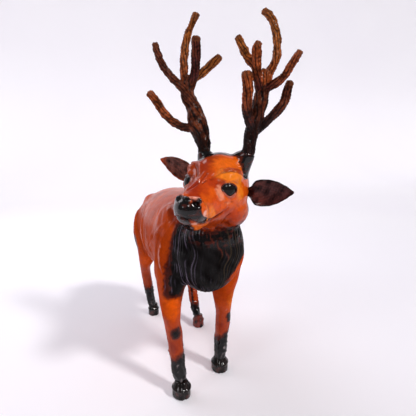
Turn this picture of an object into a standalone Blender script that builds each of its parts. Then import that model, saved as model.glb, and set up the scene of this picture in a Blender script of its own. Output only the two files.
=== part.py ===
"""Leather-covered stag figurine, walking, its head turned to its right.

Metres, +Z up. The stag faces -Y, so its own left is +X. The body is leather shrunk over a hard core;
the antlers are wound leather strips, and the ears, eyes and hoof caps are pieces of their own.
The free form is drawn in figure millimetres, which follow the height.
"""

import math

import bmesh
import bpy
import numpy as np
from mathutils import Matrix, Vector

# Driving sizes, in metres
HEIGHT = 0.412
EYE_DIAMETER = 0.019
EAR_LENGTH = 0.047
EAR_WIDTH = 0.025
EAR_THICKNESS = 0.0016
EAR_STALK_DIAMETER = 0.009
ANTLER_ROOT_DIAMETER = 0.0125
BEAM_DIAMETER = 0.0145
TINE_DIAMETER = 0.0078
PEDICLE_WALL = 0.0014
SEAT_DEPTH = 0.006
HOOF_HEIGHT = 0.0175
HOOF_BAND_HEIGHT = 0.0095
FRONT_HOOF_WIDTH = 0.0205
HIND_HOOF_WIDTH = 0.0170
FIT_GAP = 0.0003

# One figure millimetre, in metres: the pose and the muscles are drawn on a stag 412 of these high
DRAWN_HEIGHT = 412.0
MM = HEIGHT / DRAWN_HEIGHT

# Grain of the modelling and the number of faces that are kept
BODY_GRAIN = 2.0 * MM
ANTLER_GRAIN = 1.3 * MM
FIRST_SMOOTHING = 3
TORSO_SMOOTHING = 26
BODY_TRIANGLES = 5240
ANTLER_TRIANGLES = 920

# The long smoothing leaves out the head and the lower legs: how far each reaches, and the fade beyond it
HEAD_REACH = 55.0
HEAD_FADE = 25.0
LOWER_LEG_TOP = 100.0
LEG_FADE = 30.0

# How far a seat's cutter runs up past its seat, in metres
CUTTER_RISE = 0.012

# The head's place and pose: turned to the stag's right, nose up a little, left side lower
HEAD_CENTRE = (5.6, -102.8, 232.2)
HEAD_TURN = 42.5
HEAD_LIFT = 2.6
HEAD_TILT = 8.8

# Where each hoof stands: name, centre of the sole (x, y), turned out by degrees
FEET = {
    "front_right": (-32.3, -91.0, 6.0),
    "front_left": (24.6, -63.0, -10.0),
    "hind_right": (-24.5, 107.8, 4.0),
    "hind_left": (33.0, 46.3, -8.0),
}

# Torso, from the tail to the brisket: y, back, belly, half width
TORSO = [
    (118, 185, 150, 12),
    (110, 195, 136, 26),
    (96, 204, 122, 39),
    (75, 212, 115, 47),
    (42, 217, 109, 52),
    (5, 219, 106, 54),
    (-30, 221, 106, 52),
    (-60, 220, 110, 47),
    (-85, 205, 118, 40),
    (-102, 185, 128, 30),
    (-112, 168, 140, 14),
]

# Neck and mane, from below upwards: x, y, z, half width, half depth
NECK = [
    (2, -45, 165, 44, 50),
    (4, -62, 186, 41, 40),
    (7, -76, 206, 36, 33),
    (8, -86, 226, 31, 28),
    (6, -90, 244, 24, 22),
]
MANE = [
    (-1, -80, 124, 12, 13),
    (-1, -84, 131, 26, 22),
    (0, -89, 144, 35, 26),
    (1, -94, 160, 38, 26),
    (3, -98, 180, 33, 22),
    (5, -98, 198, 24, 16),
]

# Legs, from the ground upwards: x, y, z, half width, half depth
LEGS = {
    "front_right": [
        (-32.3, -91, 0, 6.3, 6.6),
        (-32.3, -89, 17, 6.6, 7.0),
        (-33.9, -87, 27, 8.0, 8.4),
        (-35.2, -83.5, 48, 8.1, 8.6),
        (-36.7, -81, 69, 9.3, 9.8),
        (-38.2, -79, 80, 9.2, 9.6),
        (-38.8, -75, 103, 12.2, 14.5),
        (-36, -68, 128, 17, 24),
        (-33, -58, 155, 20, 30),
        (-28, -50, 180, 20, 30),
    ],
    "front_left": [
        (24.6, -63, 0, 6.3, 6.6),
        (24.6, -63.4, 17, 6.8, 7.2),
        (25.2, -63.6, 27, 7.9, 8.3),
        (26.0, -64, 45, 8.0, 8.5),
        (27.8, -65, 66, 9.2, 9.8),
        (28.0, -65, 78, 9.3, 9.8),
        (27.4, -65, 103, 13, 15),
        (29, -64, 128, 18, 24),
        (29, -58, 152, 20, 28),
        (26, -50, 178, 18, 28),
    ],
    "hind_right": [
        (-24.5, 108, 0, 5.8, 6.6),
        (-27, 107, 17, 6.0, 6.8),
        (-29.5, 106, 30, 6.8, 7.6),
        (-31.6, 107, 48, 7.3, 8.4),
        (-34.5, 111, 70, 7.8, 10.4),
        (-36.5, 105, 88, 8.5, 12),
        (-35, 94, 110, 14, 20),
        (-32, 86, 135, 20, 30),
        (-28, 84, 160, 22, 34),
    ],
    "hind_left": [
        (33, 46, 0, 5.8, 6.6),
        (32, 53, 17, 6.0, 6.8),
        (31.5, 60, 30, 7.0, 7.6),
        (31.5, 69, 48, 7.3, 8.5),
        (32, 79, 70, 8.0, 10.4),
        (33, 78, 90, 9, 13),
        (34, 76, 112, 15, 21),
        (32, 78, 135, 21, 30),
        (28, 82, 160, 22, 34),
    ],
}

# Muscles on the torso: centre, half axes
MUSCLES = [
    ((-32, -55, 166), (20, 27, 44)),
    ((31, -56, 144), (23, 27, 35)),
    ((-32, 84, 148), (24, 34, 42)),
    ((32, 82, 148), (24, 34, 42)),
    ((-24, 89, 190), (15, 19, 14)),
    ((24, 89, 190), (15, 19, 14)),
    ((-17, 96, 148), (19, 23, 38)),
    ((17, 96, 148), (19, 23, 38)),
]

# Tail, hanging close to the rump: x, y, z, half width, half depth
TAIL = [
    (0, 104, 192, 8, 6),
    (0, 116, 188, 8, 6),
    (0, 122, 176, 7.5, 5.5),
    (0, 123, 160, 6, 4.5),
    (0, 121, 144, 3.5, 3),
]

# Head, along its own forward axis: forward, crown, jaw, half width
SKULL = [
    (-34, 14, -14, 14),
    (-27, 25, -26, 23),
    (-14, 33, -37, 29),
    (2, 34, -41, 30),
    (14, 28, -41, 27.5),
    (25, 19, -40, 23),
    (37, 11, -38, 18),
    (48, 4, -36, 15.5),
    (58, -1, -33, 15),
    (66, -3, -30, 14),
    (71, -8, -24, 9),
]

# Masses on the head, in its own axes: centre (right, forward, up), half axes
HEAD_MASSES = [
    ((0, 50, -30), (10.5, 11, 8)),
    ((0, 61, -15), (15.5, 10, 12)),
    ((-19, 15, 14), (9, 14, 8)),
    ((19, 15, 14), (9, 14, 8)),
    ((-18, 25, 9.5), (6, 11, 3.5)),
    ((18, 25, 9.5), (6, 11, 3.5)),
    ((-18, 25, -6.5), (6, 11, 3.5)),
    ((18, 25, -6.5), (6, 11, 3.5)),
    ((-21, -6, -22), (12, 22, 16)),
    ((21, -6, -22), (12, 22, 16)),
    ((-15, -6, 27), (9, 10, 11)),
]

# Eyes: centre of the ball in the head's axes, mirrored for the two sides
EYE_PLACE = (16.6, 23.4, 1.4)

# Ears in the head's axes: root, tip and the direction that the leaf opens to
EARS = {
    "ear_right": ((26, -6, 7), (75, -5, 16), (0.1, 0.85, -0.5)),
    "ear_left": ((-27.3, -5.4, -0.8), (-74.3, -18.4, 7.2), (-0.25, 0.95, -0.15)),
}

# The ear's leaf: where it starts and how soon it has opened, as shares of its length; its outline's powers;
# how far its stalk is rolled and its blade cupped, in degrees; the width of its tip, in metres; and how
# much the mouth of its seat widens, as a share of the leaf's width
LEAF_START = 0.04
LEAF_OPENS = 0.19
LEAF_FULLNESS = 0.65
LEAF_BLUNTNESS = 2.3
STALK_ROLL = 220.0
LEAF_CUP = 80.0
LEAF_TIP_WIDTH = 0.0008
EAR_SEAT_FLARE = 0.38

# Pedicles and antlers in the head's axes; each branch has a thickness as a share of the beam or the tine.
# The last branch of each antler is the leather that fills its top fork.
PEDICLE_FLARE = 1.25
PEDICLES = {
    "antler_right": ((18, -6, 14), (23, -6, 32)),
    "antler_left": ((-17, -6, 16), (-23, -6, 38)),
}
BEAMS = {
    "antler_right": [
        (23, -6, 32, 0.86),
        (24.8, -6.3, 36, 0.92),
        (29.2, -8, 45, 1.14),
        (37.6, -10.5, 58, 1.36),
        (46, -14, 73, 1.06),
        (57, -17, 86, 0.98),
        (59, -19, 98, 0.88),
    ],
    "antler_left": [
        (-23, -6, 38, 0.84),
        (-23, -6.5, 42, 0.86),
        (-22, -8, 51, 0.88),
        (-22, -11, 65, 0.94),
        (-23, -14, 81, 1.00),
        (-23, -17, 92, 0.98),
        (-23, -19, 100, 0.88),
    ],
}
TINES = {
    "antler_right": [
        [
            (38, -10, 55, 1.15), (47, -6, 52.5, 1.1), (59, -1, 55.5, 1.05), (71, 3, 63.5, 1.05),
            (81, 5, 74, 1.05), (89, 6, 81, 0.95),
        ],
        [
            (38, -9, 66, 0.8), (50, -10, 82, 0.95), (63, -12, 93, 1.05), (75, -12, 101, 1.05),
            (88, -10, 113, 1.0), (95, -8, 125, 0.92), (98, -6, 133, 0.85),
        ],
        [
            (58, -18, 90, 1.05), (65, -20, 102, 1.08), (70, -23, 119, 1.12), (73, -26, 134, 1.08),
            (73, -28, 150, 0.98), (70, -29, 162, 0.88), (67, -29, 170.6, 1.05),
        ],
        [
            (57, -20, 93, 1.05), (53, -17, 106, 1.1), (51, -13, 117, 1.15), (51, -9, 130, 1.15),
            (51, -6, 140.5, 1.08),
        ],
        [
            (59, -20, 96, 0.95), (54, -23, 106, 1.0), (48, -27, 113, 1.05), (41, -31, 123, 1.12),
            (35, -34, 131, 1.0),
        ],
        [
            (57, -18, 88, 1.0), (59, -18.5, 98, 1.15), (60, -19, 106, 1.0),
        ],
    ],
    "antler_left": [
        [
            (-23, -9, 56, 1.0), (-20, -4, 65, 1.15), (-16, 1, 78, 1.2), (-15, 5, 95, 1.22),
            (-12, 7, 108, 1.22),
        ],
        [
            (-22, -11, 57, 1.0), (-25, -14, 60, 1.1), (-33, -18, 71, 1.12), (-41, -21, 83, 1.12),
            (-45, -23, 94, 1.1), (-46, -24, 109.5, 1.0),
        ],
        [
            (-23, -18, 95, 1.0), (-24, -18, 99, 1.0), (-34, -15, 105, 1.0), (-43, -11, 113, 1.0),
            (-49, -7, 123, 0.92), (-54, -4, 132, 0.8),
        ],
        [
            (-23, -19, 97, 1.0), (-25, -21, 106, 1.05), (-25, -23, 117, 1.05), (-28, -26, 129, 1.0),
            (-26, -29, 145, 1.0), (-21, -31, 159, 0.98), (-14, -32, 170, 0.92), (-6, -32, 176, 0.9),
        ],
        [
            (-23, -17, 94, 1.0), (-20, -15, 99, 1.05), (-16, -12, 112, 1.1), (-14, -9, 125, 1.12),
            (-12.5, -8, 134, 1.1), (-13.5, -8, 139, 0.95),
        ],
        [
            (-16, -15, 110, 0.9), (-10, -17, 121, 1.0), (-1, -20, 129, 1.08), (7, -23, 139, 1.02),
            (14, -25, 148.5, 0.85),
        ],
        [
            (-22, -17, 96, 1.0), (-21, -17, 108, 1.3), (-21.5, -18.5, 117, 1.05),
        ],
    ],
}

# Folds and creases in the leather. On the flanks a path is (y, z) and is laid on the skin of each side;
# on the head it is (forward, up). Height above zero raises, below zero cuts. Path, reach, height.
FLANK_FOLDS = [
    ([(64, 196), (40, 190), (22, 168), (20, 146), (10, 127), (-12, 114)], 5.5, 1.5),
    ([(-66, 206), (-73, 194), (-62, 181), (-41, 165), (-15, 146), (6, 130), (14, 118)], 5.5, 1.5),
    ([(-80, 197), (-78, 185), (-74, 173), (-73, 161), (-77, 148), (-84, 138)], 5.0, 1.4),
    ([(56, 182), (44, 164), (42, 140)], 8.0, -1.4),
    ([(-50, 190), (-46, 176), (-26, 160), (-6, 146)], 8.0, -1.4),
    ([(88, 184), (70, 160), (62, 136), (66, 118)], 7.0, -1.6),
]
FACE_FOLDS = [
    ([(37, 9), (31, 16), (24, 20.5), (14, 20), (6, 15)], 4.2, 1.8),
    ([(34, 6), (28, 13), (20, 15), (11, 13)], 4.0, -1.8),
    ([(54, -23), (46, -24), (36, -20), (27, -16)], 3.6, -1.8),
    ([(52, -19.5), (44, -20), (36, -16)], 4.4, 1.0),
    ([(28, -12), (15, -24), (4, -34)], 5.5, -1.0),
    ([(56, -6), (50, -12), (48, -21)], 3.5, 1.2),
]
# Nostrils and lips, right side: centre in the head's axes, reach, height
MUZZLE_DENTS = [
    ((9.0, 69.5, -9.0), 5.0, -5.0),
    ((12.5, 66, -7.5), 3.5, 1.2),
    ((0, 71, -20), 4.0, -1.6),
]
LIP = [(-13, 56, -24), (-7, 62, -26), (0, 64, -26.5), (7, 62, -26), (13, 56, -24)]

# Mane: combed locks down the front of the neck, about the mane's own axis
LOCKS = 13
LOCK_DEPTH = 1.1
MANE_AXIS_Y = -72.0
MANE_BACK_Y = -78.0
MANE_FOOT_Z = 112.0
MANE_TOP_Z = 200.0
MANE_FADE = 8.0

# Hoof cap: heights as shares of the band, then one more for the collar above it; widths as shares of its own
HOOF_PROFILE = [(0.0, 0.93), (0.13, 1.0), (0.96, 0.97), (1.1, 1.05), (1.3, 0.96)]
LEG_END_RADIUS = 6.5
TOE_LENGTH = 0.16
CLEFT_DEPTH = 0.10
CLEFT_REACH = 0.09


def head_matrix():
    """The head's own axes (right, forward, up) set in the stag's frame."""
    turn, lift, tilt = (math.radians(a) for a in (HEAD_TURN, HEAD_LIFT, HEAD_TILT))
    forward = Vector((-math.sin(turn) * math.cos(lift), -math.cos(turn) * math.cos(lift), math.sin(lift)))
    level_left = Vector((math.cos(turn), -math.sin(turn), 0.0))
    level_up = level_left.cross(forward) * -1.0
    left = level_left * math.cos(tilt) - level_up * math.sin(tilt)
    up = forward.cross(left)
    axes = Matrix((-left, forward, up)).transposed().to_4x4()
    return Matrix.Translation(Vector(HEAD_CENTRE) * MM) @ axes


HEAD = head_matrix()


def place(points, matrix):
    """Points of an N x 3 array, in metres, moved by a matrix."""
    m = np.array(matrix)
    return points @ m[:3, :3].T + m[:3, 3]


def curve_rows(rows, steps):
    """Rows of numbers joined by a Catmull-Rom curve with so many steps between each two."""
    rows = np.array(rows, float)
    ends = np.vstack([2 * rows[0] - rows[1], rows, 2 * rows[-1] - rows[-2]])
    out = []
    for i in range(len(rows) - 1):
        a, b, c, d = ends[i : i + 4]
        for t in np.arange(steps) / steps:
            second, third = 2 * a - 5 * b + 4 * c - d, 3 * b - a - 3 * c + d
            out.append(0.5 * (2 * b + (c - a) * t + second * t**2 + third * t**3))
    out.append(rows[-1])
    return np.array(out)


def tube(bm, rows, side, sides=18, steps=4, matrix=None, dome=0.6):
    """A closed loft along rows of x, y, z, half width, half depth, in metres, with rounded ends."""
    rows = curve_rows(rows, steps)
    centres = rows[:, :3]
    widths = np.maximum(rows[:, 3], 0.0003)
    depths = np.maximum(rows[:, 4], 0.0003)
    tangents = np.gradient(centres, axis=0)
    tangents /= np.linalg.norm(tangents, axis=1, keepdims=True)
    caps = (0.45, 0.8, 0.98) if dome else ()
    stations = [(0, -cap) for cap in reversed(caps)]
    stations += [(i, 0.0) for i in range(len(rows))]
    stations += [(len(rows) - 1, cap) for cap in caps]
    angles = np.arange(sides) * 2 * math.pi / sides
    loops = []
    for i, end in stations:
        t = tangents[i]
        a = np.array(side, float) - np.dot(side, t) * t
        a /= np.linalg.norm(a)
        b = np.cross(t, a)
        shrink = math.sqrt(1 - end * end)
        reach = dome * min(widths[i], depths[i]) * end
        ring = (
            centres[i]
            + t * reach
            + np.outer(np.cos(angles) * widths[i] * shrink, a)
            + np.outer(np.sin(angles) * depths[i] * shrink, b)
        )
        if matrix is not None:
            ring = place(ring, matrix)
        loops.append([bm.verts.new(p) for p in ring])
    for low, high in zip(loops, loops[1:]):
        for k in range(sides):
            n = (k + 1) % sides
            bm.faces.new((low[k], low[n], high[n], high[k]))
    bm.faces.new(list(reversed(loops[0])))
    bm.faces.new(loops[-1])


def ball(bm, centre, axes, matrix=None):
    """An ellipsoid, in metres."""
    shape = Matrix.Translation(Vector(centre)) @ Matrix.Diagonal((*axes, 1.0))
    if matrix is not None:
        shape = matrix @ shape
    bmesh.ops.create_uvsphere(bm, u_segments=20, v_segments=14, radius=1.0, matrix=shape)


def scaled(rows):
    """Rows drawn in figure millimetres, in metres."""
    return np.array(rows, float) * MM


def section_rows(rows):
    """Rows of station, top, bottom, half width turned into a tube's rows along Y."""
    return [(0, station, (top + bottom) / 2, half, (top - bottom) / 2) for station, top, bottom, half in rows]


def add_object(name, mesh, collection, material=None):
    piece = bpy.data.objects.new(name, mesh)
    collection.objects.link(piece)
    if material is not None:
        piece.data.materials.clear()
        piece.data.materials.append(material)
    return piece


def mesh_from(bm, name):
    mesh = bpy.data.meshes.new(name)
    bm.to_mesh(mesh)
    bm.free()
    return mesh


def evaluated_mesh(piece):
    """The piece's mesh with its modifiers worked in, as a new mesh."""
    graph = bpy.context.evaluated_depsgraph_get()
    graph.update()
    return bpy.data.meshes.new_from_object(piece.evaluated_get(graph), depsgraph=graph)


def fused(mesh, name, grain):
    """Overlapping closed shapes fused into one skin."""
    clay = add_object(name + "_clay", mesh, bpy.context.scene.collection)
    remesh = clay.modifiers.new("fuse", "REMESH")
    remesh.mode = "VOXEL"
    remesh.voxel_size = grain
    result = evaluated_mesh(clay)
    result.name = name
    bpy.data.objects.remove(clay)
    bpy.data.meshes.remove(mesh)
    return result


def relax(mesh, rounds, share=None):
    """Smooths a skin by its neighbours' mean, each point by its own share."""
    points = vertex_array(mesh, "vertices")
    ends = np.empty(len(mesh.edges) * 2, np.int32)
    mesh.edges.foreach_get("vertices", ends)
    one, two = ends.reshape(-1, 2).T
    count = np.bincount(one, minlength=len(points)) + np.bincount(two, minlength=len(points))
    weight = 0.5 * (np.ones(len(points)) if share is None else share)
    for _ in range(rounds):
        total = np.empty_like(points)
        for axis in range(3):
            total[:, axis] = np.bincount(one, points[two, axis], len(points))
            total[:, axis] += np.bincount(two, points[one, axis], len(points))
        points += (total / count[:, None] - points) * weight[:, None]
    mesh.vertices.foreach_set("co", points.astype(np.float32).ravel())
    mesh.update()


def vertex_array(mesh, name):
    values = np.empty(len(mesh.vertices) * 3, np.float32)
    getattr(mesh, name).foreach_get("co" if name == "vertices" else "vector", values)
    return values.reshape(-1, 3).astype(float)


def laid_on_skin(path, points, side):
    """A path of (along, up) points laid on the widest skin of one side."""
    laid = []
    for along, up in curve_rows(path, 4):
        near = np.abs(points[:, 1] - along) + np.abs(points[:, 2] - up) < 4.0
        laid.append((side * (side * points[near, 0]).max(), along, up))
    return np.array(laid)


def bump(points, path, reach, height):
    """How far each point is raised by a stroke along a path; it fades out at its reach."""
    path = curve_rows(path, 3) if len(path) > 1 else np.array(path, float)
    gaps = np.full(len(points), np.inf)
    for spot in path:
        gaps = np.minimum(gaps, np.linalg.norm(points - spot, axis=1))
    return height * np.clip(1 - (gaps / reach) ** 2, 0, None) ** 2


def mane_share(points):
    """How much of the mane there is at each point: 1 on the bib, 0 off it."""
    forward = np.clip((MANE_BACK_Y - points[:, 1]) / MANE_FADE, 0, 1)
    below = np.clip((MANE_TOP_Z - points[:, 2]) / MANE_FADE, 0, 1)
    above = np.clip((points[:, 2] - MANE_FOOT_Z) / MANE_FADE, 0, 1)
    return forward * below * above


def locks(points):
    """The combed locks of the mane, as ridges that run down it and sway a little."""
    around = np.arctan2(points[:, 0], MANE_AXIS_Y - points[:, 1])
    sway = 0.10 * np.sin(points[:, 2] / 11.0 + 2.0 * around)
    ridge = np.abs(np.sin((around + sway) * LOCKS)) - 0.6
    return LOCK_DEPTH * ridge * mane_share(points)


def carve(mesh):
    """Raises and cuts the folds of the leather, along the skin's own normals."""
    points = vertex_array(mesh, "vertices") / MM
    normals = vertex_array(mesh, "vertex_normals")
    to_head = np.array(HEAD.inverted())
    in_head = points @ to_head[:3, :3].T + to_head[:3, 3] / MM
    rise = np.zeros(len(points))
    for side in (-1, 1):
        for path, reach, height in FLANK_FOLDS:
            rise += bump(points, laid_on_skin(path, points, side), reach, height)
        for path, reach, height in FACE_FOLDS:
            rise += bump(in_head, laid_on_skin(path, in_head, side), reach, height)
        for (x, y, z), reach, height in MUZZLE_DENTS:
            rise += bump(in_head, [(side * x, y, z)], reach, height)
    rise += bump(in_head, LIP, 3.2, -2.4)
    rise += locks(points)
    moved = (points + normals * rise[:, None]) * MM
    mesh.vertices.foreach_set("co", moved.astype(np.float32).ravel())
    mesh.update()


def build_body_mesh():
    bm = bmesh.new()
    across = (1.0, 0.0, 0.0)
    tube(bm, scaled(section_rows(TORSO)), across, sides=28)
    tube(bm, scaled(NECK), across, sides=24)
    tube(bm, scaled(MANE), across, sides=24)
    tube(bm, scaled(TAIL), across, sides=12)
    for rows in LEGS.values():
        tube(bm, scaled(rows), across, sides=18)
    for centre, axes in MUSCLES:
        ball(bm, scaled(centre), scaled(axes))
    tube(bm, scaled(section_rows(SKULL)), across, sides=28, matrix=HEAD)
    for centre, axes in HEAD_MASSES:
        ball(bm, scaled(centre), scaled(axes), HEAD)
    for foot, top in PEDICLES.values():
        width = ANTLER_ROOT_DIAMETER / 2 + PEDICLE_WALL
        flared = width * PEDICLE_FLARE
        rows = [(*scaled(foot), flared, flared), (*scaled(top), width, width)]
        tube(bm, rows, across, sides=18, matrix=HEAD, dome=0.0)
    return mesh_from(bm, "body")


def torso_share(points):
    """1 on the torso, neck and thighs, which are smooth, and 0 on the head and the lower legs."""
    far = np.linalg.norm(points - np.array(HEAD_CENTRE), axis=1)
    off_head = np.clip((far - HEAD_REACH) / HEAD_FADE, 0, 1)
    return off_head * np.clip((points[:, 2] - LOWER_LEG_TOP) / LEG_FADE, 0, 1)


def build_body(collection, material):
    mesh = fused(build_body_mesh(), "body", BODY_GRAIN)
    relax(mesh, FIRST_SMOOTHING)
    relax(mesh, TORSO_SMOOTHING, torso_share(vertex_array(mesh, "vertices") / MM))
    carve(mesh)
    body = add_object("body", mesh, collection, material)
    keep = body.modifiers.new("fewer faces", "DECIMATE")
    keep.ratio = min(1.0, BODY_TRIANGLES / (2 * len(mesh.polygons)))
    return body


def antler_mesh(name):
    """Beam and tines of one antler, fused; its root goes down into the pedicle's seat."""
    bm = bmesh.new()
    beam = np.array(BEAMS[name], float)
    foot, top = (np.array(p, float) * MM for p in PEDICLES[name])
    rise = (top - foot) / np.linalg.norm(top - foot)
    rows = [(*(top - rise * (SEAT_DEPTH - FIT_GAP)), ANTLER_ROOT_DIAMETER / 2, ANTLER_ROOT_DIAMETER / 2)]
    for x, y, z, share in beam:
        rows.append((x * MM, y * MM, z * MM, share * BEAM_DIAMETER / 2, share * BEAM_DIAMETER / 2))
    tube(bm, rows, (1, 0, 0), sides=14, steps=4, matrix=HEAD, dome=0.0)
    for tine in TINES[name]:
        rows = [(x * MM, y * MM, z * MM, s * TINE_DIAMETER / 2, s * TINE_DIAMETER / 2) for x, y, z, s in tine]
        tube(bm, rows, (0, 1, 0), sides=12, steps=4, matrix=HEAD)
    return mesh_from(bm, name)


def build_antler(name, collection, material):
    mesh = fused(antler_mesh(name), name, ANTLER_GRAIN)
    relax(mesh, 1)
    antler = add_object(name, mesh, collection, material)
    keep = antler.modifiers.new("fewer faces", "DECIMATE")
    keep.ratio = min(1.0, ANTLER_TRIANGLES / (2 * len(mesh.polygons)))
    return antler


def ear_axes(name):
    """The ear's frame: x along the leaf from its root, y across it, z the way it opens."""
    root, tip, opening = (Vector(v) for v in EARS[name])
    along = (tip - root).normalized()
    facing = Vector(opening)
    facing = (facing - along * facing.dot(along)).normalized()
    across = facing.cross(along)
    axes = Matrix((along, across, facing)).transposed().to_4x4()
    return HEAD @ Matrix.Translation(root * MM) @ axes


def build_ear(name, collection, material):
    """A leaf rolled into a stalk at its root, cupped along its length and pointed at its tip."""
    long_steps, cross_steps = 12, 6
    stalk_radius = (EAR_STALK_DIAMETER - EAR_THICKNESS) / 2
    stalk_turn, cup_turn = math.radians(STALK_ROLL), math.radians(LEAF_CUP)
    bm = bmesh.new()
    grid = []
    for i in range(long_steps + 1):
        t = i / long_steps
        x = -SEAT_DEPTH + FIT_GAP + t * (EAR_LENGTH + SEAT_DEPTH)
        leaf = max(0.0, (x - LEAF_START * EAR_LENGTH) / (EAR_LENGTH * (1 - LEAF_START)))
        open_up = min(1.0, leaf / LEAF_OPENS)
        open_up = open_up * open_up * (3 - 2 * open_up)
        blade = EAR_WIDTH * (1 - abs(2 * leaf**LEAF_FULLNESS - 1) ** LEAF_BLUNTNESS) + LEAF_TIP_WIDTH
        arc = stalk_radius * stalk_turn * (1 - open_up) + blade * 1.1 * open_up
        turn = stalk_turn * (1 - open_up) + cup_turn * open_up * (1 - 0.5 * leaf)
        radius = arc / turn
        row = []
        for j in range(cross_steps + 1):
            angle = (j / cross_steps - 0.5) * turn
            y = radius * math.sin(angle)
            z = radius * (1 - math.cos(angle)) - stalk_radius * (1 - open_up)
            row.append(bm.verts.new((x, y, z)))
        grid.append(row)
    for a, b in zip(grid, grid[1:]):
        for j in range(cross_steps):
            bm.faces.new((a[j], b[j], b[j + 1], a[j + 1]))
    bm.transform(ear_axes(name))
    ear = add_object(name, mesh_from(bm, name), collection, material)
    wall = ear.modifiers.new("leather", "SOLIDIFY")
    wall.thickness = EAR_THICKNESS
    wall.offset = 0.0
    return ear


def build_eye(name, side, collection, material):
    bm = bmesh.new()
    bmesh.ops.create_uvsphere(bm, u_segments=14, v_segments=8, radius=EYE_DIAMETER / 2)
    eye = add_object(name, mesh_from(bm, name), collection, material)
    x, y, z = EYE_PLACE
    eye.location = HEAD @ (Vector((side * x, y, z)) * MM)
    return eye


def build_hoof(name, foot, width, collection, material):
    """A cloven cap: a wall above the sole, and a flared collar that narrows to the leg."""
    x, y, turn = foot
    collar = HOOF_HEIGHT - HOOF_BAND_HEIGHT
    rows = []
    for share, wide in HOOF_PROFILE:
        rows.append((min(share, 1.0) * HOOF_BAND_HEIGHT + max(share - 1.0, 0.0) * collar, wide * width / 2))
    rows.append((HOOF_HEIGHT, LEG_END_RADIUS * MM))
    sides = 16
    bm = bmesh.new()
    loops = []
    for z, radius in rows:
        flare = min(1.0, (HOOF_HEIGHT - z) / collar)
        loop = []
        for k in range(sides):
            angle = 2 * math.pi * k / sides
            toe = max(0.0, math.cos(angle))
            cleft = CLEFT_DEPTH * math.exp(-((math.sin(angle / 2) / CLEFT_REACH) ** 2)) * flare
            length = radius * (1.0 + TOE_LENGTH * flare * toe) * (1 - cleft)
            loop.append(bm.verts.new((radius * math.sin(angle) * (1 - cleft), -length * math.cos(angle), z)))
        loops.append(loop)
    for low, high in zip(loops, loops[1:]):
        for k in range(sides):
            n = (k + 1) % sides
            bm.faces.new((low[k], low[n], high[n], high[k]))
    bm.faces.new(list(reversed(loops[0])))
    bm.faces.new(loops[-1])
    hoof = add_object(name, mesh_from(bm, name), collection, material)
    hoof.location = (x * MM, y * MM, 0.0)
    hoof.rotation_euler = (0, 0, math.radians(turn))
    return hoof


def add_cutter(body, cutter):
    cutter.hide_render = True
    cutter.display_type = "WIRE"
    cut = body.modifiers.new("seat " + cutter.name, "BOOLEAN")
    cut.operation = "DIFFERENCE"
    cut.solver = "EXACT"
    cut.object = cutter


def ground_cutter(cutters):
    """Takes each leg off level where its hoof cap begins, and reaches as far below the ground."""
    depth = 2 * HOOF_HEIGHT
    bm = bmesh.new()
    bmesh.ops.create_cube(bm, size=1.0)
    cutter = add_object("cut_leg_ends", mesh_from(bm, "cut_leg_ends"), cutters)
    cutter.scale = (2 * HEIGHT, 2 * HEIGHT, depth)
    cutter.location = (0, 0, HOOF_HEIGHT + FIT_GAP - depth / 2)
    return cutter


def seat_cutter(name, foot, top, radius, mouth, cutters):
    """A seat down the line from top to foot; above the top it widens to its mouth."""
    foot, top = Vector(foot) * MM, Vector(top) * MM
    axis = (top - foot).normalized()
    rows = []
    for along, wide in ((-SEAT_DEPTH, radius), (0.0, radius), (CUTTER_RISE, mouth)):
        rows.append((*(top + axis * along), wide, wide))
    bm = bmesh.new()
    tube(bm, rows, (0.0, 1.0, 0.0), sides=24, steps=1, matrix=HEAD, dome=0.0)
    return add_object(name, mesh_from(bm, name), cutters)


def material(name, colour, roughness, metallic=0.0):
    made = bpy.data.materials.new(name)
    made.use_nodes = True
    shader = made.node_tree.nodes["Principled BSDF"]
    shader.inputs["Base Color"].default_value = (*colour, 1.0)
    shader.inputs["Roughness"].default_value = roughness
    shader.inputs["Metallic"].default_value = metallic
    made.diffuse_color = (*colour, 1.0)
    return made


def clear_scene():
    for piece in list(bpy.data.objects):
        bpy.data.objects.remove(piece, do_unlink=True)


def new_collection(name):
    group = bpy.data.collections.new(name)
    bpy.context.scene.collection.children.link(group)
    return group


def stand_on_origin(pieces, cutters):
    """Moves everything so that the middle of the whole footprint is at the origin."""
    graph = bpy.context.evaluated_depsgraph_get()
    graph.update()
    corners = []
    for piece in pieces:
        seen = piece.evaluated_get(graph)
        mesh = seen.to_mesh()
        points = np.empty(len(mesh.vertices) * 3, np.float32)
        mesh.vertices.foreach_get("co", points)
        points = place(points.reshape(-1, 3), piece.matrix_world)
        seen.to_mesh_clear()
        corners += [points.min(axis=0), points.max(axis=0)]
    low, high = np.min(corners, axis=0), np.max(corners, axis=0)
    shift = Vector((-(low[0] + high[0]) / 2, -(low[1] + high[1]) / 2, -low[2]))
    for piece in list(pieces) + list(cutters):
        piece.location = piece.location + shift


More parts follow.
